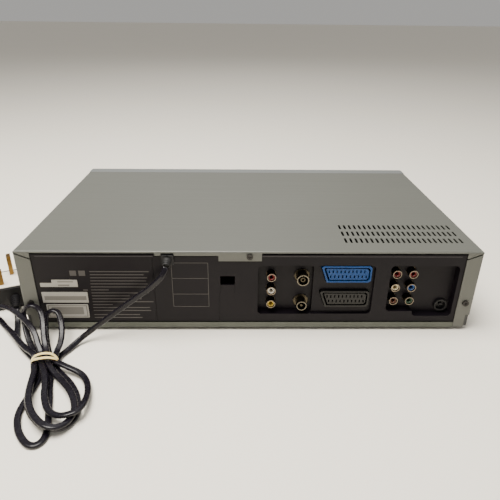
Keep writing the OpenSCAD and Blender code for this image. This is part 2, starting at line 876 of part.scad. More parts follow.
// An upright can capacitor with a rolled rim
module capacitor(x, y, r, h) {
  translate([x, y, board_top - eps]) rotate_extrude() polygon([
    [0, 0], [r, 0], [r, h * 0.2], [r - 0.4, h * 0.2 + 0.5], [r, h * 0.2 + 1], [r, h - 0.6],
    [r - 0.6, h], [r - 1.2, h - 0.4], [0, h - 0.4]
  ]);
}

module main_board() {
  color("#2f6b45") {
    difference() {
      along_z(board_z, board_top) polygon([
        [-206, -104], [7, -104], [7, 121], [-118, 121], [-118, 70], [-206, 70]
      ]);
      for (x = loader_post_x, y = loader_post_y)
        bar_z(x, y, board_z - 1, board_top + 1, 5.2);
      for (i = [0 : 4])
        bar_z(board_posts[i][0], board_posts[i][1], board_z - 1, board_top + 1, 1.5);
    }
    chip(-80, 20, 28, 28, 2.2);
    chip(-140, 30, 20, 20, 2);
    chip(-60, -70, 24, 14, 2);
    chip(-10, 10, 22, 22, 2.2);
    chip(-10, -50, 12, 26, 2);
    chip(-95, 86, 18, 18, 2);
    for (i = [0 : 5]) capacitor(-4, 40 + i * 13, 3.2, 7 + (i % 3) * 2);
    for (i = [0 : 4]) capacitor(-196, -60 + i * 22, 3.2, 8 + (i % 2) * 3);
    // plugs of the ribbon cables
    block([-100, -98, board_top - eps], [-64, -93, board_top + 8]);
    block([-6, -90, board_top - eps], [-1, -68, board_top + 8]);
  }
}

module power_board() {
  color("#b98a4a") {
    difference() {
      block([39, 88, board_z], [206, 127, board_top]);
      for (i = [8 : 11])
        bar_z(board_posts[i][0], board_posts[i][1], board_z - 1, board_top + 1, 1.5);
    }
    capacitor(72, 108, 11, 30);
    capacitor(100, 104, 6, 22);
    capacitor(134, 100, 5, 20);
    capacitor(134, 116, 5, 20);
    // transformer: a yoke round its wound former
    difference() {
      block([150, 93, board_top - eps], [190, 123, board_top + 34]);
      block([156, 92, board_top + 7], [184, 97, board_top + 27]);
      block([156, 119, board_top + 7], [184, 124, board_top + 27]);
    }
    along_y(91.5, 124.5) round_rect([157, board_top + 8], [183, board_top + 26], 3);
    // heat sink with its fins
    block([112, 92, board_top - eps], [114, 122, board_top + 30]);
    for (i = [0 : 5])
      block([114 - eps, 92 + i * 5.6, board_top + 3], [121, 93.4 + i * 5.6, board_top + 30]);
    // lead's plug and the fuse
    block([56, 118, board_top - eps], [66, 125, board_top + 10]);
    along_y(92, 114) translate([52, board_top + 4]) circle(2.6);
    for (y = [92, 110]) block([49, y, board_top - eps], [55, y + 4, board_top + 5]);
  }
}

module disc_board() {
  color("#2f6b45") {
    difference() {
      block([-206, 73, board_z], [-122, 121, board_top]);
      for (i = [5 : 7])
        bar_z(board_posts[i][0], board_posts[i][1], board_z - 1, board_top + 1, 1.5);
    }
    chip(-168, 92, 26, 26, 2.4);
    chip(-140, 94, 12, 20, 2);
    for (i = [0 : 3]) capacitor(-198, 86 + i * 8, 2.6, 7);
  }
}

module front_board() {
  back = front_board_y + board_t;
  keys = concat([power_key_at, tray_key_at, eject_key_at], transport_keys);
  color("#2f6b45") {
    along_y(front_board_y, back) polygon([
      [-209, 12], [206, 12], [206, 43], [-6, 43], [-6, 66], [-36, 66], [-36, 44.5],
      [-184, 44.5], [-184, 71], [-209, 71]
    ]);
    for (k = keys) {
      block([k[0] - 3, switch_y + 0.6, k[1] - 3], [k[0] + 3, front_board_y + eps, k[1] + 3]);
      bar_y(k[0], k[1], switch_y, switch_y + 1, 1.6);
    }
    // glass tube of the display
    block([window_x - window_w / 2 + 6, y_front + 5.4, window_low + 2],
      [window_x + window_w / 2 - 6, front_board_y + eps, window_high - 2]);
  }
}

// ---------- Disc drive, drawn about its own centre line ----------

// Mirrored pairs on both sides of the children's own centre line
module pair() {
  children();
  mirror([1, 0, 0]) children();
}

floor_top = loader_floor + loader_t;
ledge_top = tray_z - 0.3;
tray_half = tray_w / 2;
runner_half = tray_half + tray_runner;
wall_in = loader_half - loader_wall;
gear_x = pinion_x - loader_x;
slot_r = 18;

module loader_base() {
  open_half = traverse_half + 1.5;
  color("#37383b") translate([loader_x, 0, 0]) {
    difference() {
      union() {
        block([-loader_half, loader_front, loader_floor], [loader_half, loader_back, floor_top]);
        pair() {
          block([wall_in, loader_front, loader_floor], [loader_half, loader_back, loader_top]);
          // ledge that the tray runs on, and the lugs that hold it down
          block([tray_half - 2.5, loader_front, ledge_top - 2.2],
            [wall_in + eps, loader_back, ledge_top]);
          for (y = [loader_front + 6 : 52 : loader_back - 20])
            block([tray_half + 0.5, y, tray_z + 2.5], [wall_in + eps, y + 12, tray_z + 4.5]);
          // bearing of the traverse's hinge
          block([open_half, hinge_y - 5, loader_floor - 3], [open_half + 5, hinge_y + 5,
            loader_floor + 5]);
          // ribs on the outside of the wall
          for (y = [loader_front + 30 : 30 : loader_back - 20])
            block([loader_half - eps, y, loader_floor], [loader_half + 1.6, y + 2, loader_top
              - 8]);
        }
        block([-loader_half, loader_back - 2, loader_floor], [loader_half, loader_back, 46]);
        // axle of the drive gear
        bar_z(gear_x, pinion_y, floor_top - eps, pinion_z + 7.5, 1.5);
        bar_z(gear_x, pinion_y, floor_top - eps, pulley_z - 0.3, 4);
      }
      along_z(loader_floor - 1, floor_top + 1)
        round_rect([-open_half, traverse_front - 2], [open_half, hinge_y + 6], 3);
      bar_x(hinge_y, hinge_z, -open_half - 6, open_half + 6, hinge_r + running);
      bar_z(gear_x, motor_y, loader_floor - 1, floor_top + 1, 3.4);
      along_z(loader_floor - 1, floor_top + 1) {
        round_rect([42, -60], [66, -10], 4);
        round_rect([42, 0], [66, 50], 4);
        round_rect([-66, -20], [-42, 50], 4);
      }
      for (x = loader_post_x, y = loader_post_y)
        bar_z(x - loader_x, y, loader_floor - 1, floor_top + 1, 1.6);
    }
  }
}

bridge_t = 1.2;
bridge_half_d = 19;
clamp_r = 13.8;

module clamp_bridge() {
  color("#8d8f90") translate([loader_x, 0, 0]) difference() {
    union() {
      block([-loader_half, disc_y - bridge_half_d, loader_top],
        [loader_half, disc_y + bridge_half_d, loader_top + bridge_t]);
      for (y = [disc_y - bridge_half_d, disc_y + bridge_half_d - bridge_t])
        block([-loader_half + 4, y, loader_top], [loader_half - 4, y + bridge_t,
          loader_top + 5]);
      // raised ring round the hole of the clamp
      bar_z(0, disc_y, loader_top, loader_top + bridge_t, clamp_r + 7);
    }
    bar_z(0, disc_y, loader_top - 1, loader_top + 6, clamp_r + 0.8);
    for (side = [-1, 1]) {
      along_z(loader_top - 1, loader_top + 6)
        round_rect([side * 48 - 14, disc_y - 9], [side * 48 + 14, disc_y + 9], 4);
      bar_z(side * (loader_half - 1.6), disc_y, loader_top - 1, loader_top + 3, 0.9);
    }
  }
}

module disc_clamp() {
  color("#26272a") translate([loader_x, disc_y, 0]) difference() {
    union() {
      bar_z(0, 0, loader_top - 3.7, loader_top + bridge_t + 1, clamp_r);
      bar_z(0, 0, loader_top + bridge_t + 0.3, loader_top + bridge_t + 1.8, clamp_r + 3.4);
      bar_z(0, 0, loader_top + bridge_t + 1.8 - eps, loader_top + bridge_t + 3.4, 6);
    }
    bar_z(0, 0, loader_top - 4, loader_top - 0.7, 7.9);
    for (a = [0 : 60 : 300]) rotate(a)
      translate([10.6, 0, loader_top + bridge_t + 1]) cylinder(r = 1.5, h = 4);
  }
}

// The rack's teeth along Y, tapered and pointing to -X
module rack_teeth(y0, count) {
  p = PI * gear_module;
  add = gear_module * 0.8;
  ded = gear_module * 1.2;
  for (i = [0 : count - 1]) translate([0, y0 + i * p]) polygon([
    [ded + eps, -p * 0.31], [ded + eps, p * 0.31], [-add, p * 0.09], [-add, -p * 0.09]
  ]);
}

rack_depth = 5;
rack_z = tray_z - 4.7;
// a gap of the rack stands where the pinion's tooth points at it
rack_start = pinion_y - PI * gear_module * 2.5;
rack_count = ceil((tray_travel + 14) / (PI * gear_module)) + 1;

module disc_tray() {
  recess = tray_z + 2;
  color("#2e2f33") translate([loader_x, 0, 0]) {
    difference() {
      union() {
        along_z(tray_z, tray_z + tray_t)
          round_rect([-tray_half, tray_front], [tray_half, tray_back], 1.5);
        block([-runner_half, tray_front + 6, tray_z], [runner_half, tray_back - 2, tray_z + 2]);
      }
      bar_z(0, disc_y, recess, tray_z + tray_t + 1, disc_dia / 2);
      bar_z(0, disc_y, recess - 0.8, tray_z + tray_t + 1, 40.3);
      bar_z(0, disc_y, tray_z - 1, tray_z + tray_t + 1, slot_r);
      block([-slot_r, disc_y, tray_z - 1], [slot_r, tray_back + 1, tray_z + tray_t + 1]);
      // finger scoops at the sides of the disc
      for (side = [-1, 1])
        translate([side * 62, disc_y - 46, recess]) cylinder(r = 11, h = 10);
    }
    // rack under the tray's left half
    translate([rack_x - loader_x, 0, 0]) along_z(rack_z, tray_z + eps) {
      rack_teeth(rack_start, rack_count);
      translate([gear_module * 1.2, rack_start - 2])
        square([rack_depth - gear_module * 1.2, rack_count * PI * gear_module]);
    }
  }
}

module tray_door() {
  half = tray_door_w / 2;
  front = y_front + 0.2;
  color("#b9bbbb") translate([loader_x, 0, 0]) {
    difference() {
      along_x(-half, half) polygon(concat(
        [[front + tray_door_t, tray_door_low], [front + tray_door_t, tray_door_high]],
        [for (a = [90 : -30 : 0]) [front + 1 - cos(a), tray_door_high - 1 + sin(a)]],
        [for (a = [0 : 30 : 90]) [front + 1 - cos(a), tray_door_low + 1 - sin(a)]]
      ));
      // shallow grip along the middle
      along_x(-20, 20) translate([front - 1.2, (tray_door_low + tray_door_high) / 2]) circle(2.2);
    }
    for (x = [-50, 50])
      block([x - 6, front + tray_door_t - eps, tray_z + 0.6],
        [x + 6, tray_front, tray_z + tray_t - 0.6]);
  }
}

module loading_motor() {
  color("#9b9b98") translate([pinion_x, motor_y, 0]) {
    bar_z(0, 0, loader_floor - 13, loader_floor, 10);
    bar_z(0, 0, loader_floor - eps, floor_top - 0.4, 3);
    bar_z(0, 0, floor_top - 0.5, pulley_z + pulley_h - 0.3, 1);
  }
}

// A pulley with a groove for the square belt
module grooved(r, bore) {
  rotate_extrude() polygon([
    [bore, 0], [r, 0], [r, 1], [r - 1, 1.1], [r - 1, 2.9], [r, 3], [r, 4], [bore, 4]
  ]);
}

module motor_pulley() {
  color("#d8d4c8") translate([pinion_x, motor_y, pulley_z]) grooved(pulley_dia / 2 + 0.6,
    1 + running);
}

belt_gap = 0.12;

module loading_belt() {
  rw = wheel_dia / 2 - 1 + belt_gap;
  rp = pulley_dia / 2 + 0.6 - 1 + belt_gap;
  color("#151515") along_z(pulley_z + 1.4, pulley_z + 2.6) translate([pinion_x, 0])
    difference() {
      belt_loop(rw + 0.95, rp + 0.95);
      belt_loop(rw, rp);
    }
}

// The outline of a belt round the wheel and the pulley, with its two tangents
module belt_loop(rw, rp) {
  span = motor_y - pinion_y;
  a = asin((rw - rp) / span);
  translate([0, pinion_y]) circle(rw);
  translate([0, motor_y]) circle(rp);
  translate([0, pinion_y]) polygon([
    [-rw * cos(a), rw * sin(a)], [rw * cos(a), rw * sin(a)],
    [rp * cos(a), span + rp * sin(a)], [-rp * cos(a), span + rp * sin(a)]
  ]);
}

// One tooth of the pinion, tapered, pointing to +X
module pinion_tooth() {
  r = pitch_r;
  w = PI * gear_module;
  polygon([
    [r - gear_module * 1.3, -w * 0.29], [r, -w * 0.2], [r + gear_module * 0.8, -w * 0.07],
    [r + gear_module * 0.8, w * 0.07], [r, w * 0.2], [r - gear_module * 1.3, w * 0.29]
  ]);
}

module drive_gear() {
  color("#e0dccf") translate([pinion_x, pinion_y, 0]) difference() {
    union() {
      translate([0, 0, pulley_z]) grooved(wheel_dia / 2, 1.5 + running);
      along_z(pinion_z - eps, tray_z - 0.4) {
        circle(pitch_r - gear_module * 1.2);
        for (i = [0 : pinion_teeth - 1]) rotate(i * 360 / pinion_teeth) pinion_tooth();
      }
    }
    bar_z(0, 0, pulley_z - 1, tray_z + 1, 1.5 + running);
    for (a = [45 : 90 : 315]) rotate(a)
      translate([8.6, 0, pulley_z - 1]) cylinder(r = 2, h = pulley_h + 0.9);
  }
}

rail_y0 = disc_y + 5;
rail_y1 = sled_y + sled_travel + 17;

module traverse_frame() {
  color("#55575a") translate([loader_x, 0, 0]) difference() {
    union() {
      along_z(traverse_z, traverse_top)
        round_rect([-traverse_half, traverse_front], [traverse_half, hinge_y + 3.5], 3);
      bar_x(hinge_y, hinge_z, -traverse_half - 5, traverse_half + 5, hinge_r);
      pair() {
        for (y = [rail_y0, rail_y1 - 4])
          block([rail_x - 3.2, y, traverse_top - eps], [rail_x + 3.2, y + 4, rail_z + 1.9]);
        // stiffening edge
        block([traverse_half - 1.6, traverse_front + 4, traverse_z - 2.5],
          [traverse_half, hinge_y - 6, traverse_z + eps]);
      }
    }
    along_z(traverse_z - 1, traverse_top + 1)
      round_rect([-21.5, disc_y + 15], [21.5, rail_y1 - 4], 3);
    bar_z(0, disc_y, traverse_z - 1, traverse_top + 1, 7);
    for (side = [-1, 1])
      bar_y(side * rail_x, rail_z, rail_y0 - 1, rail_y1 + 1, rail_r + running);
  }
}

module spindle_motor() {
  color("#a8a8a4") translate([loader_x, disc_y, 0]) {
    bar_z(0, 0, traverse_z - 6.5, traverse_z, 12);
    bar_z(0, 0, traverse_z - eps, traverse_top, 6.8);
    bar_z(0, 0, traverse_top - eps, traverse_top + 9, 1);
  }
}

turn_z = traverse_top + 5;

module turntable() {
  color("#202124") translate([loader_x, disc_y, 0]) difference() {
    union() {
      bar_z(0, 0, traverse_top + 0.6, turn_z + eps, 5.5);
      bar_z(0, 0, turn_z, turn_z + 2, 14);
      translate([0, 0, turn_z + 2 - eps]) cylinder(r1 = 7.4, r2 = 5.2, h = 2.4);
    }
    bar_z(0, 0, traverse_top, turn_z + 6, 1 + running);
    difference() {
      bar_z(0, 0, turn_z + 1.5, turn_z + 3, 13.4);
      bar_z(0, 0, turn_z + 1, turn_z + 4, 8.6);
    }
  }
}

module pickup_sled() {
  low = traverse_top + 0.4;
  top = traverse_top + 4.4;
  color("#303338") translate([loader_x, 0, 0]) {
    difference() {
      union() {
        block([-21, sled_y - 11, low], [21, sled_y + 11, top]);
        block([-18, sled_y - 9, low - 6], [18, sled_y + 9, low + eps]);
        block([rail_x - 4.2, sled_y - 11, low], [rail_x + 3.4, sled_y + 11, top]);
        block([-rail_x - 3.4, sled_y - 5, low], [-rail_x + 4.2, sled_y + 5, top]);
        along_z(top - eps, top + 1) round_rect([-8, sled_y - 8], [8, sled_y + 8], 2);
      }
      for (side = [-1, 1])
        bar_y(side * rail_x, rail_z, sled_y - 12, sled_y + 12, rail_r + running);
      block([-13, sled_y + 4, low + 2], [13, sled_y + 12, top + 2]);
    }
    translate([0, sled_y - 2, top]) {
      cylinder(r = 4, h = 1.7);
      translate([0, 0, 1.2]) sphere(r = 2.6);
    }
  }
}

module sled_rails() {
  color("#c9cacb") for (side = [-1, 1])
    bar_y(loader_x + side * rail_x, rail_z, rail_y0, rail_y1, rail_r);
}

// ---------- Tape deck, drawn about its own centre line ----------

side_in = cradle_half + side_gap;
side_t = 1.2;
arm_z = deck_top + 0.4;
arm_t = 2;
pinch_dx = capstan_x - pinch_x;
pinch_dy = capstan_y - pinch_y;
pinch_line = atan2(pinch_dy, pinch_dx);
pin_y = [cradle_front + 8, cradle_front + cradle_d - 8];

module deck_chassis() {
  color("#a7a9a8") translate([deck_x, 0, 0]) {
    difference() {
      union() {
        block([-98, deck_front, deck_z], [98, deck_back, deck_top]);
        pair() {
          along_x(side_in, side_in + side_t) polygon([
            [cradle_front, deck_z], [20, deck_z], [20, 62], [8, 78],
            [cradle_front, 78]
          ]);
          block([98 - side_t, deck_front, deck_z], [98, deck_back, deck_z + 5]);
        }
        for (y = [deck_front, deck_back - side_t])
          block([-98, y, deck_z], [98, y + side_t, deck_z + 5]);
        bar_z(capstan_x, capstan_y, deck_top - eps, deck_top + 2.4, 4);
      }
      // slots that the cradle's pins run in
      for (y = [pin_y[0]]) along_x(-side_in - 2, side_in + 2)
        round_rect([y - slot_half_h, pin_z - slot_half_h],
          [pin_y[1] + cradle_travel + slot_half_h, pin_z + slot_half_h],
          slot_half_h - 0.05);
      bar_z(capstan_x, capstan_y, deck_z - 1, deck_top + 3, capstan_r + running);
      along_z(deck_z - 1, deck_top + 1) {
        round_rect([-26, reel_y - 18], [14, reel_y + 18], 5);
        round_rect([-90, -8], [-62, 30], 5);
        round_rect([-88, 48], [-52, 76], 5);
        round_rect([40, 52], [80, 76], 5);
      }
      for (x = deck_post_x, y = deck_post_y)
        bar_z(x - deck_x, y, deck_z - 1, deck_top + 1, 1.6);
    }
    // pins of the reels, the arms and the pinch arm
    for (x = [-reel_x, reel_x]) bar_z(x, reel_y, deck_top - eps, 43, 2);
    for (x = [-arm_x, arm_x]) bar_z(x, arm_y, deck_top - eps, arm_z + arm_t + 3, 2);
    bar_z(pinch_x, pinch_y, deck_top - eps, arm_z + arm_t + 3, 2);
  }
}

// Everything on the head drum leans with it
module leaning() {
  translate([deck_x, drum_y, deck_top]) rotate([-drum_lean, 0, 0]) children();
}

drum_r = drum_dia / 2;
drum_low = 3;
drum_split = 15;
drum_high = 32;

module drum_base() {
  color("#b7b8b6") {
    leaning() {
      difference() {
        bar_z(0, 0, drum_low, drum_split, drum_r);
        // guide edge that the tape rests on
        difference() {
          bar_z(0, 0, drum_split - 4, drum_split + 1, drum_r + 1);
          bar_z(0, 0, drum_split - 5, drum_split + 2, drum_r - 0.5);
        }
      }
      bar_z(0, 0, drum_split - eps, drum_high - 2, 2.5);
    }
    translate([deck_x, drum_y, 0]) intersection() {
      block([-24, -22, deck_top], [24, 24, deck_top + 12]);
      translate([0, 0, deck_top]) rotate([-drum_lean, 0, 0])
        block([-25, -25, -12], [25, 25, drum_low + 1]);
    }
  }
}

module upper_drum() {
  color("#d3d4d3") leaning() difference() {
    union() {
      bar_z(0, 0, drum_split + 0.6, drum_high - 1, drum_r);
      translate([0, 0, drum_high - 1 - eps]) cylinder(r1 = drum_r, r2 = drum_r - 1, h = 1);
    }
    bar_z(0, 0, drum_split, drum_high + 1, 2.5 + running);
    difference() {
      bar_z(0, 0, drum_high - 3, drum_high + 1, drum_r - 4);
      bar_z(0, 0, drum_high - 4, drum_high + 2, 9);
    }
    for (a = [0 : 60 : 300]) rotate(a)
      translate([18, 0, drum_high - 9]) cylinder(r = 3.2, h = 12);
    // windows of the heads
    for (a = [0, 90, 180, 270]) rotate(a)
      block([drum_r - 3, -1.6, drum_split], [drum_r + 1, 1.6, drum_split + 2.4]);
  }
}

module capstan() {
  color("#c2c3c2") translate([deck_x + capstan_x, capstan_y, 0]) {
    bar_z(0, 0, deck_z - 8, 49, capstan_r);
    difference() {
      bar_z(0, 0, deck_z - 8, deck_z - 3, 22);
      difference() {
        bar_z(0, 0, deck_z - 4.4, deck_z, 19);
        bar_z(0, 0, deck_z - 5, deck_z + 1, 6);
      }
    }
  }
}

// A flat lever from its pivot at the origin along +X, with round ends and a bore
module lever(length, r, bore) {
  difference() {
    along_z(0, arm_t) {
      circle(r);
      translate([length, 0]) circle(r - 1);
      polygon([[0, -r], [length, -r + 1], [length, r - 1], [0, r]]);
    }
    bar_z(0, 0, -1, arm_t + 1, bore);
  }
}

module pinch_arm() {
  color("#8b8d8d") translate([deck_x + pinch_x, pinch_y, arm_z])
    rotate(pinch_line - pinch_parked) {
      lever(pinch_len, 4.2, 2 + running);
      bar_z(pinch_len, 0, arm_t - eps, arm_t + 15.5, 1.5);
    }
}

roller_r = 6.5;

module pinch_roller() {
  color("#1a1a1a") translate([deck_x + pinch_x, pinch_y, arm_z])
    rotate(pinch_line - pinch_parked) translate([pinch_len, 0, 0]) difference() {
      bar_z(0, 0, arm_t + 0.4, arm_t + 14.6, roller_r);
      bar_z(0, 0, 0, 20, 1.5 + running);
    }
}

// A reel table: a wide foot, and a hub with three splines
module reel(x) {
  color("#2b2b2d") translate([deck_x + x, reel_y, 0]) difference() {
    union() {
      bar_z(0, 0, deck_top + 0.5, deck_top + 4, 15);
      bar_z(0, 0, deck_top + 4 - eps, deck_top + 6, 11);
      bar_z(0, 0, deck_top + 6 - eps, 44, 4.6);
      for (a = [0, 120, 240]) rotate(a)
        block([0, -0.9, deck_top + 6 - eps], [6.6, 0.9, 42]);
      translate([0, 0, 44 - eps]) cylinder(r1 = 4.6, r2 = 3, h = 1.5);
    }
    bar_z(0, 0, deck_top, 43.6, 2 + running);
  }
}

module supply_reel() {
  reel(-reel_x);
}

module takeup_reel() {
  reel(reel_x);
}

// A loading arm at rest, with its guide roller and its leaning guide post
module guide_arm(side) {
  translate([deck_x + side * -arm_x, arm_y, arm_z]) mirror([side < 0 ? 1 : 0, 0, 0])
    rotate(arm_start) {
      lever(arm_len, 4.6, 2 + running);
      bar_z(arm_len, 0, arm_t - eps, arm_t + 3, 3);
      bar_z(arm_len, 0, arm_t + 3 - eps, arm_t + 14, 2.4);
      bar_z(arm_len, 0, arm_t + 14 - eps, arm_t + 15.5, 3);
    }
}

module supply_guide_arm() {
  color("#b4b5b2") guide_arm(1);
}

module takeup_guide_arm() {
  color("#b4b5b2") guide_arm(-1);
}

module head_stack() {
  x = deck_x + 46;
  y = drum_y - 8;
  color("#9fa09d") {
    block([x - 7, y - 6, deck_top], [x + 7, y + 6, deck_top + 3]);
    difference() {
      block([x - 5, y - 4, deck_top + 3 - eps], [x + 5, y + 5, deck_top + 19]);
      block([x - 3.4, y - 5, deck_top + 5], [x + 3.4, y - 3, deck_top + 17]);
    }
    for (z = [deck_top + 6, deck_top + 13])
      block([x - 2, y - 3.4, z], [x + 2, y - 3 + eps, z + 2.6]);
    bar_z(x - 6, y + 4, deck_top + 3 - eps, deck_top + 12, 1.2);
  }
}

cradle_top = cradle_floor + cradle_t + cassette_h + 1.4;

module cassette_cradle() {
  back = cradle_front + cradle_d;
  color("#93959a") translate([deck_x, 0, 0]) {
    difference() {
      block([-cradle_half, cradle_front, cradle_floor], [cradle_half, back, cradle_top + 1]);
      block([-cassette_w / 2, cradle_front - 1, cradle_floor + cradle_t],
        [cassette_w / 2, back + 1, cradle_top]);
      block([-cassette_w / 2 + 14, cradle_front - 1, cradle_top - 1],
        [cassette_w / 2 - 14, back + 1, cradle_top + 2]);
      // cut-outs of the floor
      along_z(cradle_floor - 1, cradle_floor + 2) for (x = [-74, -34, 6, 46])
        round_rect([x, cradle_front + 14], [x + 28, back - 10], 4);
    }
    pair() for (y = pin_y) bar_x(y, pin_z, cradle_half - eps, side_in + side_t + 1.2, 2);
    // tabs that press the cassette down
    pair() block([cassette_w / 2 - 12, cradle_front + 20, cradle_top - 1],
      [cassette_w / 2 - 4, cradle_front + 34, cradle_top + eps]);
  }
}

module cassette_door() {
  half = slot_half - door_gap;
  front = y_front + 0.3;
  low = slot_low + door_gap;
  high = slot_high - door_gap;
  color("#b2b4b4") translate([deck_x, 0, 0]) {
    along_x(-half, half) polygon(concat(
      [[front + door_t, low], [front + door_t, high]],
      [for (a = [90 : -30 : 0]) [front + 1 - cos(a), high - 1 + sin(a)]],
      [for (a = [0 : 30 : 90]) [front + 1 - cos(a), low + 1 - sin(a)]]
    ));
    block([-half + 6, front + door_t - eps, low + 2], [half - 6, front + door_t + 1.4, low + 3.6]);
    pair() {
      block([half - 2.4, front + door_t - eps, door_hinge_z - 3],
        [half, door_hinge_y + 2.2, door_hinge_z + 1.8]);
      bar_x(door_hinge_y, door_hinge_z, half - eps, half + 4.8, door_pin_r);
    }
  }
}

// ---------- Front keys ----------

key_front = y_front - key_proud;
key_rear = y_front + key_back;
flange_y = y_front + front_wall + 0.25;

// A key: its cap, the collar that keeps it in the panel, and the stem to its switch
module key(at, cap) {
  along_y(key_front + 0.4, flange_y + eps) key_outline(at, cap, 0);
  along_y(key_front, key_front + 0.4 + eps) key_outline(at, cap, -0.4);
  along_y(flange_y, flange_y + 1.2)
    round_rect([at[0] - cap[0] / 2 - 1.4, at[1] - cap[1] / 2 - 1.4],
      [at[0] + cap[0] / 2 + 1.4, at[1] + cap[1] / 2 + 1.4], 1.5);
  bar_y(at[0], at[1], flange_y, key_rear, 2.2);
}

module power_key() {
  color("#c9cbcb") translate([power_key_at[0], 0, power_key_at[1]]) {
    bar_y(0, 0, key_front + 0.4, flange_y + eps, 8);
    bar_y(0, 0, key_front, key_front + 0.5, 7.5);
    bar_y(0, 0, flange_y, flange_y + 1.2, 9.2);
    bar_y(0, 0, flange_y, key_rear, 2.2);
  }
}

module tray_key() {
  color("#c9cbcb") key(tray_key_at, small_cap);
}

module eject_key() {
  color("#c9cbcb") key(eject_key_at, small_cap);
}

module rewind_key() {
  color("#c9cbcb") key(transport_keys[0], small_cap);
}

module play_key() {
  color("#c9cbcb") key(transport_keys[1], play_cap);
}

module forward_key() {
  color("#c9cbcb") key(transport_keys[2], small_cap);
}

module stop_key() {
  color("#c9cbcb") key(transport_keys[3], small_cap);
}

module record_key() {
  color("#c9cbcb") key(transport_keys[4], small_cap);
}

// ---------- Mains lead ----------

// The free stretches: from the relief, far loop, two small loops, and to the plug
routes = [
  [[76.5, 140.5, 73], [78, 142.5, 69], [81.5, 144.5, 63.5], [86.5, 145, 58.5], [93, 145, 52.5],
    [101, 145, 46.5], [110.5, 145.5, 39.5], [120.5, 146, 32], [130, 147, 25], [138, 148, 19],
    [145, 149.5, 14], [153, 152.5, 8.6], [160, 158.5, 4.7], [166, 169, 2.6], [170.2, 178, 2.6]],
  [[190.4, 182.7, 7.8], [201, 172.5, 6.4], [209.5, 164, 5.8], [218.5, 154, 5.4], [228, 143, 4.2],
    [239, 131, 2.4], [252, 117, 1.8], [265, 107.5, 1.8], [273.5, 105, 1.9], [282.5, 105.5, 2.5],
    [289.5, 110, 4], [292.5, 117, 6.5], [290.5, 124.5, 9.5],
    [284.5, 129.5, 12.5], [276.5, 130.5, 15], [268.5, 127.5, 17], [260.5, 123.5, 18.4],
    [248, 121.5, 19.8], [236, 126, 20.6], [228.5, 131.5, 21.5], [221, 138.5, 22.5],
    [214, 145.5, 23], [207.5, 151.5, 22.8], [201.5, 157.5, 21.6],
    [196.5, 163, 19.6], [192.5, 168.5, 17], [189.5, 174, 14], [184.5, 181.5, 9.8]],
  [[171.5, 178, 9], [171.2, 172, 10.5], [171.9, 164, 13], [174, 155, 16.4], [177, 147, 19.6],
    [180, 141.2, 22], [183.5, 138, 24], [188, 137.5, 24.6], [191.8, 138, 22.4],
    [193.5, 140.5, 18], [192.8, 146, 12.5], [190.5, 153, 8.6], [187.2, 161.5, 5.6],
    [178.5, 180, 2.8]],
  [[184, 182.6, 2.7], [191.5, 175.5, 3], [198, 168, 4.4], [203.5, 160.5, 6.8],
    [208, 153, 10.2], [211.4, 146.4, 14.2], [213.4, 141.8, 18.8], [213.8, 139.4, 23.6],
    [211.8, 138.5, 27.8], [208, 138.5, 30.4], [203.6, 138.5, 30.6], [199.8, 139.2, 28.4],
    [196.8, 141.4, 25.6], [193.8, 146.4, 23], [191.2, 153, 20.2], [188.8, 160, 17.2],
    [186, 167.5, 14.2], [181.5, 177, 10.6]],
  [[189.5, 184, 2.6], [195, 178.5, 2.1], [202, 171.5, 1.9], [209.5, 163.5, 1.8],
    [216.5, 154, 1.8], [222, 144.5, 1.8], [227, 131, 3], [230.5, 121, 6.5], [234, 113.3, 10.7]]
];
// Middle lines of the loops at the back
long_loop = [
  [174.8, 192.1], [167.5, 211], [160.5, 231.5], [154.8, 249.5], [151, 263], [150.8, 271],
  [153.4, 276.2], [158.2, 277], [165.2, 272.4], [173.5, 261], [179, 242], [178, 214], [180.2, 193.5]
];
twin_loop = [
  [171.2, 190.2], [154.5, 210.8], [145.2, 222.5], [138.6, 236], [135.2, 249], [137.2, 259.4],
  [143, 265], [150, 264.8], [159.2, 259.3], [169.5, 246.5], [176.8, 229], [184.6, 194.6]
];
side_loop = [
  [180.2, 193.5], [171, 210], [164.5, 230], [155.5, 247], [143, 255.2], [132, 251.2],
  [129.6, 243.6], [132.4, 223], [138.5, 208.8], [148, 201], [169.4, 190.7]
];
hank_at = [178.8, 188];
hank_turn = 104.8;
hank_grip = 5;
lead_r = lead_dia / 2;

// The points of a flat ring round the route's point p, square to the direction d
function ring(p, d) = let (
  side = cross(d, [0, 0, 1]), s = side / norm(side), u = cross(s, d) / norm(cross(s, d))
) [for (a = [0 : 45 : 315]) p + lead_r * cos(a) * s + lead_flat / 2 * sin(a) * u];

// A flat tube along a route, closed at both ends
module lead(route) {
  last = len(route) - 1;
  rings = [for (i = [0 : last])
    ring(route[i], route[min(i + 1, last)] - route[max(i - 1, 0)])];
  polyhedron(
    [for (r = rings) each r],
    concat(
      [[for (k = [7 : -1 : 0]) k]], [[for (k = [0 : 7]) last * 8 + k]],
      [for (i = [0 : last - 1], k = [0 : 7])
        [i * 8 + k, i * 8 + (k + 1) % 8, i * 8 + 8 + (k + 1) % 8, i * 8 + 8 + k]]
    )
  );
}

module mains_lead() {
  color("#1b1a1d") for (r = routes) lead(r);
}

// The direction square to a line at its point i
function across(line, i) = let (
  d = line[min(i + 1, len(line) - 1)] - line[max(i - 1, 0)]
) [-d[1], d[0]] / norm(d);

// One loop as a ribbon, wider than the lead by grow on each side
module loop(line, grow, low, high) {
  w = lead_r + grow;
  along_z(low, high) polygon(concat(
    [for (i = [0 : len(line) - 1]) line[i] + w * across(line, i)],
    [for (i = [len(line) - 1 : -1 : 0]) line[i] - w * across(line, i)]
  ));
}

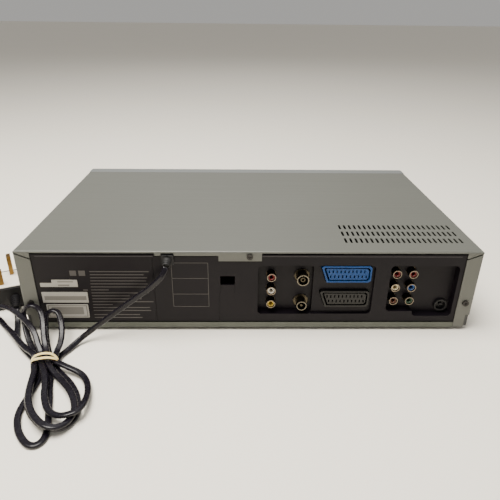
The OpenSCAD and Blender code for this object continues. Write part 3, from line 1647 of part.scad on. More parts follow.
// The tied hank
module cord_bundle() {
  outer = lead_dia * 1.56 + lead_r;
  color("#1b1a1d") {
    translate([hank_at[0], hank_at[1], 0]) rotate(hank_turn)
      block([-hank_grip, -outer, 0.15], [hank_grip + 1, outer, 2 * lead_dia]);
    loop(long_loop, 0, 0.02, lead_flat);
    loop(twin_loop, 1, 0.3, 10.3);
    loop(side_loop, 0, 3.3, 11.2);
  }
}

// The rubber band round the tied middle
module rubber_band() {
  half = lead_dia * 2.06 + 0.15;
  high = lead_dia * 2 + 0.15;
  color("#d8c496") translate([hank_at[0], hank_at[1], 0]) rotate(hank_turn)
    along_x(-2, 2) difference() {
      round_rect([-half - 1.2, 0], [half + 1.2, high + 1.2], 1.2);
      translate([-half - 0.2, -1]) square([2 * half + 0.4, high + 1]);
    }
}

module strain_relief() {
  color("#141416") translate([relief_x, 0, relief_z]) {
    difference() {
      union() {
        block([-5.2, panel_y - rear_wall - 3, -4.6], [5.2, panel_y + 2.4, 3.9]);
        block([-6.4, panel_y - rear_wall - 3, -5.6], [6.4, panel_y - rear_wall - 0.1, 3.9]);
        block([-5.6, panel_y + 0.1, -5.4], [5.6, panel_y + 2.4, 3.2]);
      }
      block([-0.5, panel_y + 1.2, 0.6], [0.5, panel_y + 3, 5]);
    }
    // the ribbed spout that points the lead downwards
    translate([0, panel_y + 1.4, -0.6]) rotate([-125, 0, 0]) rotate([0, 6, 0]) {
      cylinder(r1 = 4.4, r2 = 3.1, h = 6.6);
      for (z = [1.6, 3.4, 5.2]) translate([0, 0, z]) cylinder(r = 4.3 - z * 0.1, h = 0.9);
    }
  }
}

// ---------- Mains plug, standing on its back with the pins up ----------

plug_at = [248, 83];
plug_turn = 24.5;
plug_h = 23.5;
earth_y = -22.2;
line_x = 11.1;

// The plug's own frame: the flex leaves towards +Y, the earth pin stands at -Y
module in_plug() {
  translate([plug_at[0], plug_at[1], 0]) rotate(plug_turn) children();
}

module plug_outline(grow) {
  polygon(concat(
    [for (a = [90 : -30 : 0]) [17 + (7 + grow) * cos(a), 5 + (7 + grow) * sin(a)]],
    [for (a = [0 : -30 : -90]) [15 + (7 + grow) * cos(a), -25 + (7 + grow) * sin(a)]],
    [for (a = [-90 : -30 : -180]) [-15 + (7 + grow) * cos(a), -25 + (7 + grow) * sin(a)]],
    [for (a = [180 : -30 : 90]) [-17 + (7 + grow) * cos(a), 5 + (7 + grow) * sin(a)]]
  ));
}

module mains_plug() {
  color("#19191b") in_plug() {
    difference() {
      union() {
        along_z(0, 1.2) plug_outline(-1.2);
        along_z(1.2 - eps, plug_h) plug_outline(0);
      }
      // waist that the fingers grip
      for (side = [-1, 1]) bar_z(side * 38, -10, 3, plug_h - 4, 16);
      along_z(plug_h - 1, plug_h + 1) round_rect([-13, -4], [13, 6], 1);
    }
    // sleeve of the flex
    translate([0, 11.5, 11]) rotate([-90, 0, 0]) {
      cylinder(r1 = 5.4, r2 = 3.6, h = 21);
      for (z = [3 : 3.6 : 18]) translate([0, 0, z]) cylinder(r = 5.6 - z * 0.075, h = 1.7);
    }
  }
}

module plug_pins() {
  color("#b08a3c") in_plug() {
    along_z(plug_h, plug_h + 22.7) translate([0, earth_y]) square([4, 7.9], center = true);
    for (side = [-1, 1]) along_z(plug_h, plug_h + 17.7)
      translate([side * line_x, 0]) square([6.3, 4], center = true);
    // the screw of the cover
    bar_z(0, -10, plug_h, plug_h + 0.6, 3);
  }
}

// ---------- What is drawn ----------

top_cover();
bottom_plate();
main_frame();
rear_panel();
front_panel();
display_window();
feet();
cover_screws();
phono_blocks();
phono_sleeves();
phono_inserts();
scart_socket_blue();
scart_socket_black();
tuner_module();
svideo_socket();
main_board();
power_board();
disc_board();
front_board();
loader_base();
clamp_bridge();
disc_clamp();
disc_tray();
tray_door();
loading_motor();
motor_pulley();
loading_belt();
drive_gear();
traverse_frame();
spindle_motor();
turntable();
pickup_sled();
sled_rails();
deck_chassis();
drum_base();
upper_drum();
capstan();
pinch_arm();
pinch_roller();
supply_reel();
takeup_reel();
supply_guide_arm();
takeup_guide_arm();
head_stack();
cassette_cradle();
cassette_door();
power_key();
tray_key();
eject_key();
rewind_key();
play_key();
forward_key();
stop_key();
record_key();
strain_relief();
mains_lead();
cord_bundle();
rubber_band();
mains_plug();
plug_pins();
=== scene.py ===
"""Dresses the frame of a disc and cassette player: finishes, tied mains lead, jacks and printed places."""

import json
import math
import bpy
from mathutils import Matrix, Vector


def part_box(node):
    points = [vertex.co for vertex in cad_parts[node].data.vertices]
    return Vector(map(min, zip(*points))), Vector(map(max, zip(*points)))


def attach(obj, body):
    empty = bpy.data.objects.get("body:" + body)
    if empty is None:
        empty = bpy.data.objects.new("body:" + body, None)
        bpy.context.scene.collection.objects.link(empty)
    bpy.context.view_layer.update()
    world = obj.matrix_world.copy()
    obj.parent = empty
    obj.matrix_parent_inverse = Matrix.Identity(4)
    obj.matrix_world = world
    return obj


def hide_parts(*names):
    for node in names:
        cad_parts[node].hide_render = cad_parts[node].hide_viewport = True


bl_info = {
    "name": "Disc and Cassette Player",
    "version": (1, 0, 0),
    "blender": (4, 5, 0),
    "location": "View3D > Sidebar > Player",
    "description": "Finishes, mains lead, jack inserts and printed places for the player's frame",
    "category": "Object",
}

import bmesh
import bpy
from bpy.props import FloatProperty, FloatVectorProperty, IntProperty, PointerProperty
from mathutils import Matrix, Vector

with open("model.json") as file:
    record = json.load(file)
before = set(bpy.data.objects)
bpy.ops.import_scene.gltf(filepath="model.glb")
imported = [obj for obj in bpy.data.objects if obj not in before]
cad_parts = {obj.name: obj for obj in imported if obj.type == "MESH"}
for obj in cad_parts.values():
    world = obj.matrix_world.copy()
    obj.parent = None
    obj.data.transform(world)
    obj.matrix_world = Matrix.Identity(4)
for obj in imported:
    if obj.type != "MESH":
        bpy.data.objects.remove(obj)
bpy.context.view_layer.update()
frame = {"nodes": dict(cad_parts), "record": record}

MM = 0.001
UP = Vector((0, 0, 1))

# ---------- Places, in millimetres ----------

PANEL_Y = 133.0
LEAD_EXIT = (76.5, 140.5, 73)

# The lead leaves its bush, runs down to the tied hank, makes its loops and ends in the plug
RELIEF_RUN = [
    LEAD_EXIT, (78, 142.5, 69), (81.5, 144.5, 63.5), (86.5, 145, 58.5), (93, 145, 52.5),
    (101, 145, 46.5), (110.5, 145.5, 39.5), (120.5, 146, 32), (130, 147, 25), (138, 148, 19),
    (145, 149.5, 14), (153, 152.5, 8.6), (160, 158.5, 4.7), (166, 169, 2.6), (170.2, 178, 2.6)]
FIRST_SIDE_LOOP = [
    (169.4, 190.7, 2.7), (166, 196, 2.1), (160.5, 201.5, 1.8), (153.5, 208.5, 1.8), (147, 216.5, 1.8),
    (141.5, 225, 1.8), (137.5, 234, 1.8), (135, 243, 1.8), (134.5, 250.5, 1.9), (136, 257, 2.4),
    (139.5, 261.8, 3.4), (144, 264.2, 4.6), (149.5, 263.8, 5.4), (156, 261, 5.4), (163, 255, 5.2),
    (169.5, 247.2, 5.2), (174.5, 238, 5.4), (178, 227.5, 5.4), (180.5, 216.5, 4.8), (183, 205, 3.6),
    (185.6, 195, 2.7)]
FAR_LOOP = [
    (186.8, 189.6, 4.4), (190.4, 182.7, 7.8), (201, 172.5, 6.4), (209.5, 164, 5.8), (218.5, 154, 5.4),
    (228, 143, 4.2), (239, 131, 2.4), (252, 117, 1.8), (265, 107.5, 1.8), (273.5, 105, 1.9),
    (282.5, 105.5, 2.5), (289.5, 110, 4), (292.5, 117, 6.5), (290.5, 124.5, 9.5), (284.5, 129.5, 12.5),
    (276.5, 130.5, 15), (268.5, 127.5, 17), (260.5, 123.5, 18.4), (248, 121.5, 19.8),
    (236, 126, 20.6), (228.5, 131.5, 21.5), (221, 138.5, 22.5), (214, 145.5, 23),
    (207.5, 151.5, 22.8), (201.5, 157.5, 21.6), (196.5, 163, 19.6), (192.5, 168.5, 17),
    (189.5, 174, 14), (184.5, 181.5, 9.8)]
SIDE_LOOP = [
    (180.2, 193.5, 8.1), (175.5, 201, 7.8), (171, 210, 7.4), (167.5, 220, 6.8), (164.5, 230, 6.2),
    (160.5, 239, 5.9), (155.5, 247, 6.4), (149.5, 252.5, 7.4), (143, 255.2, 8.4), (137, 254.8, 9.4),
    (132.5, 252, 9.4), (130, 246.5, 8.8), (129.5, 239, 7.8), (130.5, 230, 6), (133, 220.5, 4.6),
    (137, 211.5, 4), (142, 205, 4.2), (148, 201, 5.2), (154.5, 198.5, 6.5), (161.5, 195.5, 7.6),
    (169.4, 190.7, 8.1)]
NEAR_ARCH = [
    (171.5, 178, 9), (171.2, 172, 10.5), (171.9, 164, 13), (174, 155, 16.4), (177, 147, 19.6),
    (180, 141.2, 22), (183.5, 138, 24), (188, 137.5, 24.6), (191.8, 138, 22.4), (193.5, 140.5, 18),
    (192.8, 146, 12.5), (190.5, 153, 8.6), (187.2, 161.5, 5.6), (178.5, 180, 2.8)]
LONG_LOOP = [
    (174.8, 192.1, 2.7), (171.2, 200.5, 2), (167.5, 211, 1.8), (164, 221.5, 1.8), (160.5, 231.5, 1.8),
    (157.5, 241, 1.8), (154.8, 249.5, 1.8), (152.3, 258, 1.8), (150.8, 265, 1.8), (150.6, 270.6, 1.8),
    (152, 274.8, 1.8), (154.9, 277, 1.8), (158.6, 276.8, 1.8), (162.8, 274.2, 1.8), (167.2, 269.8, 1.8),
    (171.5, 264.2, 1.8), (175.2, 257.3, 1.8), (178, 249.8, 1.8), (179.2, 242, 1.8),
    (179.2, 234.5, 1.8), (178.6, 226.5, 1.8), (178, 218, 1.8), (178, 209, 1.8), (178.8, 200.5, 2.2),
    (180.2, 193.5, 2.7)]
FAR_ARCH = [
    (184, 182.6, 2.7), (191.5, 175.5, 3), (198, 168, 4.4), (203.5, 160.5, 6.8), (208, 153, 10.2),
    (211.4, 146.4, 14.2), (213.4, 141.8, 18.8), (213.8, 139.4, 23.6), (211.8, 138.5, 27.8),
    (208, 138.5, 30.4), (203.6, 138.5, 30.6), (199.8, 139.2, 28.4), (196.8, 141.4, 25.6),
    (193.8, 146.4, 23), (191.2, 153, 20.2), (188.8, 160, 17.2), (186, 167.5, 14.2), (181.5, 177, 10.6)]
TWIN_LOOP = [
    (174.8, 192.1, 8.1), (170, 199, 7), (163, 206.5, 5.8), (155.5, 214, 5.4), (148.5, 222, 5.4),
    (142.3, 230.8, 5.4), (138, 239.5, 5.4), (135.8, 247.8, 5.4), (136, 255, 5.6), (138, 260.8, 6.2),
    (141.5, 264.8, 7.2), (145.5, 266.5, 8.3), (150, 265.8, 9), (156, 262, 9), (162.2, 256, 8.9),
    (168, 248.5, 8.9), (172.8, 239.5, 9), (176.2, 229.5, 9), (178.8, 218.5, 8.8), (181.5, 206, 8.4),
    (185.6, 195, 8.1)]
PLUG_RUN = [
    (186, 190, 6.8), (189.5, 184, 2.6), (195, 178.5, 2.1), (202, 171.5, 1.9), (209.5, 163.5, 1.8),
    (216.5, 154, 1.8), (222, 144.5, 1.8), (227, 131, 3), (230.5, 121, 6.5), (234, 113.3, 10.7)]
LEAD_RUNS = [
    RELIEF_RUN, FIRST_SIDE_LOOP, FAR_LOOP, SIDE_LOOP, NEAR_ARCH, LONG_LOOP, FAR_ARCH, TWIN_LOOP, PLUG_RUN]

# The lead turns from facing backwards to lying flat this far before the hank, over this length
TWIST_BEFORE_HANK = 25.0
TWIST_LENGTH = 30.0

# The band ties the hank's middle across the lead, and the plug lies on its back beside the hank
TIE_AT = Vector((178.8, 188.0, 0))
TIE_TURN = math.radians(104.8)
PLUG_AT = (248.0, 83.0)
PLUG_TURN = math.radians(24.5)

# The band's loop: half its width, half its height, the height of its middle and of its lowest stretch
BAND_HALF_WIDE = 11.3
BAND_HALF_TALL = 5.4
BAND_MIDDLE = 5.75
BAND_LOWEST = 0.55
BAND_THICK = 1.0
# How far its loop lies along the lead from the tie, and how far askew
BAND_ALONG = 3.6
BAND_SKEW = 2.0
# How far each turn leans along the lead on top, and how high its crown rises there
BAND_TURNS = [(2.6, 2.4), (-2.8, 3.1)]

# Seat of each phono jack: place across, place up and the colour of its insulator
REAR_JACKS = [
    (-20.0, 28.9, "yellow"), (-20.0, 43.3, "white"), (-20.0, 57.7, "red"),
    (-138.0, 32.5, "orange"), (-138.0, 46.9, "cream"), (-138.0, 61.3, "red"),
    (-153.4, 32.5, "green"), (-153.4, 46.9, "blue"), (-153.4, 61.3, "red")]
FRONT_JACKS = [(-198.0, 22.5, "yellow"), (-185.0, 22.5, "white"), (-172.0, 22.5, "red")]
JACK_SHADES = ("red", "white", "yellow", "cream", "orange", "green", "blue")
# How deep an insulator's shoulder lies under its face, and where a front one's root ends from there
SHOULDER_DEPTH = 9.3
FRONT_ROOT = -2.0

# Blank plates on the back: lower corner, upper corner, corner radius and how far it lies over the first
BLANK_PLATES = [
    ((161.2, 48.0), (196.0, 52.2), 0.3, 0.0), ((161.2, 51.4), (185.0, 55.6), 0.3, 0.01),
    ((153.4, 30.8), (196.4, 42.4), 0.4, 0.0), ((154.6, 13.9), (194.2, 28.9), 0.9, 0.0)]
# Darker fields on them: lower corner, upper corner and corner radius
PLATE_FIELDS = [
    ((155.0, 33.6), (194.4, 38.0), 0.2), ((169.0, 48.9), (179.6, 50.6), 0.2),
    ((165.0, 52.9), (179.6, 54.2), 0.2), ((159.4, 17.6), (189.6, 25.8), 0.5)]
# A frame: lower corner, upper corner, the width of its line and the heights of its crossbars
LOWEST_PLATE_FRAME = ((155.8, 15.0), (193.0, 27.8), 0.9, ())
EMPTY_FRAME = ((39.0, 26.2), (73.2, 73.6), 0.45, (57.0, 40.0))

# Plain rules, from the top one down: where each starts and ends across the back
RULES = [
    (148.6, 94), (148.6, 99), (148.8, 96), (149, 97), (149.2, 96), (149.4, 98), (149.4, 133), (149.6, 96),
    (149.6, 114), (149.6, 103), (149.8, 92), (149.8, 131), (150, 96), (150, 95)]
TOP_RULE = 64.2
RULE_PITCH = 3.25
# The two rules below them: height, start and end
LOWEST_RULES = [(17.2, 150, 106), (13.9, 150, 104)]
# Small fields beside the rules: lower corner and upper corner
SMALL_FIELDS = [
    ((152.8, 59.8), (158.8, 65.2)), ((161.0, 59.8), (167.0, 65.2)), ((152.6, 43.9), (157.0, 45.2))]
# How far prints reach into what they lie on, and stand off it
SUNK = 0.05
INK_PROUD = 0.06
FIELD_SUNK = 0.02
FIELD_PROUD = 0.05

# The painted highlight along the ledge under the cover, on both sides of the cover's middle flange, and how
# far its edge stands off
LEDGE_RUNS = [(-195.5, -10.5), (89.0, 196.0)]
LEDGE_LOW = 80.0
LEDGE_HIGH = 80.5
LEDGE_NEAR = 0.3
LEDGE_PROUD = 0.5

# The card on the plug's face, from the plug's own middle
CARD_CENTRE = (0, -10, 0.02)
CARD_SIZE = (42.0, 37.0)
CARD_CORNER = 6.0
CARD_THICK = 0.8

# The camera's place, the way it looks and the way that is right in its view
CAMERA_AT = (8.6, 527.5, 277.2)
CAMERA_AHEAD = (-0.01842, -0.90039, -0.43469)
CAMERA_RIGHT = (-0.99983, 0.01554, 0.01019)


# ---------- Stage, in metres ----------

# The lamps: name, place, side, power in watts and colour
LAMPS = [
    ("overhead_panel", (0.3, 0.2, 1.35), 0.9, 50.0, "#fffbf3"),
    ("window_side", (-1.3, 0.9, 1.1), 1.1, 3.0, "#f4f7ff"),
    ("far_panel", (0.1, -1.9, 1.9), 1.4, 8.0, "#ffffff")]
LAMPS_FACE = Vector((0, 0, 0.04))
SKY_STRENGTH = 0.46
FLOOR_HALF = 24


# ---------- Settings ----------

def linear(hex_colour):
    """An sRGB hex colour as linear red, green, blue and alpha."""
    parts = [int(hex_colour[i:i + 2], 16) / 255 for i in (1, 3, 5)]
    return tuple(c / 12.92 if c <= 0.04045 else ((c + 0.055) / 1.055) ** 2.4 for c in parts) + (1.0,)


def tone(name, description, hex_colour):
    """A colour property with its default given as an sRGB hex value."""
    return FloatVectorProperty(
        name=name, description=description, subtype="COLOR", size=4, min=0, max=1, default=linear(hex_colour))


class PLAYER_PG_lead(bpy.types.PropertyGroup):
    """Sizes and colour of the mains lead and of the band that ties it."""

    width: FloatProperty(
        name="Width", description="Broad side of the flat two-core lead", default=5.4 * MM, min=0.003,
        max=0.009, unit="LENGTH")
    thickness: FloatProperty(
        name="Thickness", description="Narrow side of the lead", default=3.6 * MM, min=0.002, max=0.009,
        unit="LENGTH")
    step: FloatProperty(
        name="Step", description="Distance between two sections of the sheath", default=1.6 * MM,
        min=0.0008, max=0.005, unit="LENGTH")
    segments: IntProperty(
        name="Segments", description="Faces round one section of the sheath", default=20, min=8, max=32)
    sheath: tone("Sheath", "Colour of the flexible sheath", "#0d0a11")
    band_width: FloatProperty(
        name="Band width", description="Width of the rubber band", default=3.1 * MM, min=0.001, max=0.006,
        unit="LENGTH")
    band: tone("Band", "Colour of the natural rubber band", "#ebd391")


class PLAYER_PG_jacks(bpy.types.PropertyGroup):
    """Sizes and colours of the phono jacks' insulators."""

    radius: FloatProperty(
        name="Radius", description="Outer radius of an insulator", default=3.55 * MM, min=0.002,
        max=0.005, unit="LENGTH")
    bore: FloatProperty(
        name="Bore", description="Radius of the hole for the plug's pin", default=1.9 * MM, min=0.001,
        max=0.003, unit="LENGTH")
    red: tone("Red", "Colour of the red insulators", "#6d1a17")
    white: tone("White", "Colour of the white insulators", "#d8d3c8")
    yellow: tone("Yellow", "Colour of the yellow insulators", "#b3962a")
    cream: tone("Cream", "Colour of the cream insulator", "#c9bd9c")
    orange: tone("Orange", "Colour of the brown orange insulator", "#5c3018")
    green: tone("Green", "Colour of the green insulator", "#24442c")
    blue: tone("Blue", "Colour of the blue insulator", "#2c528c")


class PLAYER_PG_prints(bpy.types.PropertyGroup):
    """Sizes and colours of the blank plates and plain rules on the back."""

    thickness: FloatProperty(
        name="Thickness", description="How far a plate stands off the panel", default=0.22 * MM,
        min=0.0001, max=0.001, unit="LENGTH")
    rule: FloatProperty(
        name="Rule", description="Height of one plain rule", default=0.9 * MM, min=0.0002, max=0.003,
        unit="LENGTH")
    plate: tone("Plate", "Colour of the blank foil plates", "#a09d96")
    shade: tone("Shade", "Colour of the darker fields on the plates", "#706d68")
    ink: tone("Ink", "Colour of the rules on the panel", "#3d3937")


class PLAYER_PG_stage(bpy.types.PropertyGroup):
    """Floor, lights and lens."""

    lens: FloatProperty(
        name="Lens", description="Focal length on a sensor 36 mm wide", default=34.745, min=10, max=200,
        unit="CAMERA")
    floor: tone("Floor", "Colour of the floor", "#f3ede0")
    strength: FloatProperty(
        name="Strength", description="Multiplies the power of every lamp", default=1.0, min=0.1, max=5.0)


class PLAYER_PG_finish(bpy.types.PropertyGroup):
    """Colours of the main outer finishes."""

    cover: tone("Cover", "Satin paint of the folded cover", "#575852")
    back: tone("Back", "Moulded rear panel", "#100c11")
    front: tone("Front", "Silver painted front", "#8b8e8d")
    window: tone("Window", "Smoked window of the display", "#121418")
    scart: tone("Blue socket", "Moulded blue socket", "#0a3a70")


# ---------- Shared shaping ----------

def finish_piece(bm, name, material, replaces=(), smooth=False):
    """Turns a bmesh into a piece of the player, faces outwards, with its finish, riding on the housing."""
    bmesh.ops.recalc_face_normals(bm, faces=bm.faces[:])
    for face in bm.faces:
        face.smooth = smooth
    mesh = bpy.data.meshes.new(name)
    bm.to_mesh(mesh)
    bm.free()
    piece = bpy.data.objects.new(name, mesh)
    bpy.context.scene.collection.objects.link(piece)
    mesh.materials.append(material)
    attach(piece, "housing")
    if replaces:
        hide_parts(*replaces)
    return piece


def smooth_run(points, step):
    """A smooth line through the points, sampled about every step, and its length."""
    points = [Vector(p) * MM for p in points]
    ends = [2 * points[0] - points[1]] + points + [2 * points[-1] - points[-2]]
    parts = 12
    fine = []
    for a, b, c, d in zip(ends, ends[1:], ends[2:], ends[3:]):
        # spaced by the root of the distances, the curve makes no kink where points stand close
        ta = 0.0
        tb = ta + (b - a).length ** 0.5
        tc = tb + (c - b).length ** 0.5
        td = tc + (d - c).length ** 0.5
        for k in range(parts):
            t = tb + (tc - tb) * k / parts
            ab = a.lerp(b, (t - ta) / (tb - ta))
            bc = b.lerp(c, (t - tb) / (tc - tb))
            cd = c.lerp(d, (t - tc) / (td - tc))
            abc = ab.lerp(bc, (t - ta) / (tc - ta))
            bcd = bc.lerp(cd, (t - tb) / (td - tb))
            fine.append(abc.lerp(bcd, (t - tb) / (tc - tb)))
    fine.append(points[-1])
    length = sum((q - p).length for p, q in zip(fine, fine[1:]))
    count = round(length / step)
    pitch = length / count
    line = [fine[0]]
    gone = 0.0
    for p, q in zip(fine, fine[1:]):
        part = (q - p).length
        while gone + part >= pitch * len(line) and len(line) < count:
            line.append(p.lerp(q, (pitch * len(line) - gone) / part))
        gone += part
    line.append(fine[-1])
    return line, length


def sweep(bm, line, sideways, half_width, half_height, segments, square=1.0, dip=0.0, closed=False):
    """Sweeps an oval along a line and gives it a UV map: u round the oval, v along the line in metres. A
    square below 1 makes the oval squarer, and a dip hollows its broad faces by that share."""
    uv = bm.loops.layers.uv.verify()
    dip_half = 0.625  # the dip's half width, as a share of the oval's
    place, rings, gone = {}, [], 0.0
    for i, at in enumerate(line):
        before = line[i - 1] if i or closed else line[0]
        after = line[(i + 1) % len(line)] if i + 1 < len(line) or closed else line[-1]
        ahead = (after - before).normalized()
        across = (sideways[i] - sideways[i].dot(ahead) * ahead).normalized()
        over = ahead.cross(across)
        if i:
            gone += (at - line[i - 1]).length
        lie = Matrix.Translation(at)
        lie = lie @ Matrix((across * half_width, over * half_height, ahead)).transposed().to_4x4()
        ring = bmesh.ops.create_circle(bm, segments=segments, radius=1, matrix=lie)["verts"]
        for j, vert in enumerate(ring):
            flat = lie.inverted() @ vert.co
            wide = math.copysign(abs(flat.x) ** square, flat.x)
            tall = math.copysign(abs(flat.y) ** square, flat.y)
            tall *= 1 - dip * max(0.0, 1 - abs(wide) / dip_half)
            vert.co = lie @ Vector((wide, tall, 0))
            place[vert] = (j / segments, gone)
        rings.append(ring)
    rims = [list(dict.fromkeys(edge for vert in ring for edge in vert.link_edges)) for ring in rings]
    for first, second in zip(rims, rims[1:] + rims[:1] if closed else rims[1:]):
        bmesh.ops.bridge_loops(bm, edges=first + second)
    if not closed:
        for ring in (rings[0], rings[-1]):
            bmesh.ops.contextual_create(bm, geom=ring)
    for face in {face for vert in place for face in vert.link_faces}:
        around = [place[loop.vert][0] for loop in face.loops]
        wraps = max(around) - min(around) > 0.5
        for loop in face.loops:
            u, v = place[loop.vert]
            loop[uv].uv = (u + 1 if wraps and u < 0.5 else u, v)


def sheet(bm, lie, corner, rounds, thick):
    """A flat sheet, laid from the unit square by a matrix, its corners rounded in so many faces, its
    thickness a vector."""
    verts = bmesh.ops.create_grid(bm, x_segments=1, y_segments=1, size=0.5, matrix=lie)["verts"]
    if corner:
        verts = bmesh.ops.bevel(
            bm, geom=verts, affect="VERTICES", offset=corner * MM, segments=rounds, profile=0.5,
            material=-1)["verts"]
    faces = list({face for vert in verts for face in vert.link_faces})
    out = bmesh.ops.extrude_face_region(bm, geom=faces)["geom"]
    bmesh.ops.translate(bm, verts=[part for part in out if isinstance(part, bmesh.types.BMVert)], vec=thick)


def plate(bm, low, high, near, far, corner=0.0):
    """A flat plate standing on the back, from its lower to its upper corner and from near to far in depth."""
    wide, tall = high[0] - low[0], high[1] - low[1]
    lie = Matrix.Translation(Vector(((low[0] + high[0]) / 2, near, (low[1] + high[1]) / 2)) * MM)
    lie = lie @ Matrix.Rotation(math.radians(90), 4, "X") @ Matrix.Diagonal((wide * MM, tall * MM, 1, 1))
    sheet(bm, lie, corner, rounds=4, thick=(0, (far - near) * MM, 0))


def frame_bars(low, high, line, crossbars):
    """The lower and upper corners of a frame's bars: bottom, top, both sides and those across it."""
    (left, bottom), (right, top) = low, high
    bars = [((left, bottom), (right, bottom + line)), ((left, top - line), (right, top)),
            ((left, bottom), (left + line, top)), ((right - line, bottom), (right, top))]
    return bars + [((left, height), (right, height + line)) for height in crossbars]


def turned(bm, profile, centre, outwards=1):
    """Turns a closed outline of (radius, depth) points round an axis along the depth, at a centre."""
    points = [bm.verts.new(Vector((centre[0] + r, centre[1] + outwards * d, centre[2])) * MM)
              for r, d in profile]
    edges = [bm.edges.new((a, b)) for a, b in zip(points, points[1:] + points[:1])]
    bmesh.ops.spin(
        bm, geom=points + edges, cent=Vector(centre) * MM, axis=(0, 1, 0), angle=2 * math.pi, steps=40,
        use_merge=True)


# ---------- Shared finishing ----------

def set_inputs(tree, node, inputs):
    """Sets a node's sockets: one that is given an output is linked to it, any other takes the value."""
    for name, value in inputs.items():
        if isinstance(value, bpy.types.NodeSocket):
            tree.links.new(value, node.inputs[name])
        else:
            node.inputs[name].default_value = value


def add_node(tree, kind, inputs, **settings):
    """Adds one node, sets its options and its sockets, and links the sockets that are given an output."""
    made = tree.nodes.new(kind)
    for name, value in settings.items():
        setattr(made, name, value)
    set_inputs(tree, made, inputs)
    return made


def begin(name):
    """A new material in the place of any of its name, its tree, its shader and the piece's coordinates."""
    material = bpy.data.materials.get(name)
    if material:
        bpy.data.materials.remove(material)
    material = bpy.data.materials.new(name)
    material.use_nodes = True
    tree = material.node_tree
    where = tree.nodes.new("ShaderNodeTexCoord").outputs["Object"]
    return material, tree, tree.nodes["Principled BSDF"], where


def marks(*sizes):
    """The scale of a pattern whose marks are so many millimetres wide, or so many each way."""
    scales = tuple(1 / (size * MM) for size in sizes)
    return scales if len(scales) > 1 else scales[0]


def shift(colour, amount):
    """The same colour, lighter or darker by a share."""
    return tuple(min(1.0, max(0.0, c * (1 + amount))) for c in colour[:3]) + (1.0,)


def drifting(tree, pattern, colour, paler, darker):
    """The colour, drifting with a pattern from a darker to a paler shade of itself."""
    mixed = add_node(
        tree, "ShaderNodeMix", {0: pattern, 6: shift(colour, -darker), 7: shift(colour, paler)},
        data_type="RGBA")
    return mixed.outputs[2]


def shade_behind_rim(tree, where, base, dull, rim):
    """The colour of a socket's barrel: a painted shade along the barrel, and the metal's own colour only at
    its rim.
    """
    place = add_node(tree, "ShaderNodeSeparateXYZ", {"Vector": where})
    near = add_node(
        tree, "ShaderNodeMapRange",
        {"Value": place.outputs["Y"], "From Min": rim - 1.2 * MM, "From Max": rim - 0.4 * MM})
    mixed = add_node(tree, "ShaderNodeMix", {0: near.outputs[0], 6: dull, 7: base}, data_type="RGBA")
    return mixed.outputs[2]


# ---------- Finishes ----------

def moulded_plastic(name, colour, grain_mm=0.35, depth_mm=0.05, rough=0.48, drift=0.10, shine=0.5):
    """ABS or polystyrene from a spark eroded mould: a fine even grain that breaks the highlight."""
    material, tree, shader, where = begin(name)
    cloud = add_node(tree, "ShaderNodeTexNoise", {"Vector": where, "Scale": marks(36), "Detail": 3.0})
    grain = add_node(
        tree, "ShaderNodeTexNoise",
        {"Vector": where, "Scale": marks(grain_mm), "Detail": 2.0, "Roughness": 0.6})
    sheen = add_node(
        tree, "ShaderNodeMapRange",
        {"Value": cloud.outputs[0], "From Min": 0.3, "From Max": 0.7, "To Min": rough - 0.05,
         "To Max": rough + 0.06})
    relief = add_node(
        tree, "ShaderNodeBump", {"Height": grain.outputs[0], "Strength": 0.35, "Distance": depth_mm * MM})
    set_inputs(tree, shader, {
        "Base Color": drifting(tree, cloud.outputs[0], colour, drift, drift), "Roughness": sheen.outputs[0],
        "Normal": relief.outputs[0], "Specular IOR Level": shine, "IOR": 1.53})
    return material


def gloss_plastic(name, colour, rough=0.22):
    """Polished moulding: a clear highlight with a faint unevenness from the cooling plastic."""
    material, tree, shader, where = begin(name)
    swell = add_node(tree, "ShaderNodeTexNoise", {"Vector": where, "Scale": marks(5.5), "Detail": 2.0})
    relief = add_node(
        tree, "ShaderNodeBump", {"Height": swell.outputs[0], "Strength": 0.12, "Distance": 0.04 * MM})
    set_inputs(tree, shader, {
        "Base Color": drifting(tree, swell.outputs[0], colour, 0.08, 0.08), "Roughness": rough,
        "Normal": relief.outputs[0], "IOR": 1.53})
    return material


def painted_steel(name, colour):
    """Sheet steel under baked satin paint: orange peel about a millimetre wide, fine dark flecks, and faint
    handling marks drawn out along its width."""
    material, tree, shader, where = begin(name)
    peel = add_node(tree, "ShaderNodeTexNoise", {"Vector": where, "Scale": marks(0.9), "Detail": 2.0})
    speck = add_node(tree, "ShaderNodeTexNoise", {"Vector": where, "Scale": marks(0.38), "Detail": 1.0})
    cloud = add_node(tree, "ShaderNodeTexNoise", {"Vector": where, "Scale": marks(110), "Detail": 4.0})
    long_way = add_node(tree, "ShaderNodeMapping", {"Vector": where, "Scale": marks(170, 3.6, 17)})
    rubs = add_node(
        tree, "ShaderNodeTexNoise", {"Vector": long_way.outputs[0], "Scale": 1.0, "Detail": 5.0})
    flecks = add_node(
        tree, "ShaderNodeMapRange",
        {"Value": speck.outputs[0], "From Min": 0.35, "From Max": 0.65, "To Min": 0.0, "To Max": 0.22})
    flecked = add_node(
        tree, "ShaderNodeMix",
        {0: flecks.outputs[0], 6: drifting(tree, cloud.outputs[0], colour, 0.05, 0.05),
         7: shift(colour, -0.35)},
        data_type="RGBA")
    dulled = add_node(
        tree, "ShaderNodeMapRange",
        {"Value": rubs.outputs[0], "From Min": 0.35, "From Max": 0.7, "To Min": 0.4, "To Max": 0.45})
    relief = add_node(
        tree, "ShaderNodeBump", {"Height": peel.outputs[0], "Strength": 0.3, "Distance": 0.03 * MM})
    set_inputs(tree, shader, {
        "Base Color": flecked.outputs[2], "Roughness": dulled.outputs[0], "Normal": relief.outputs[0],
        "IOR": 1.5})
    return material


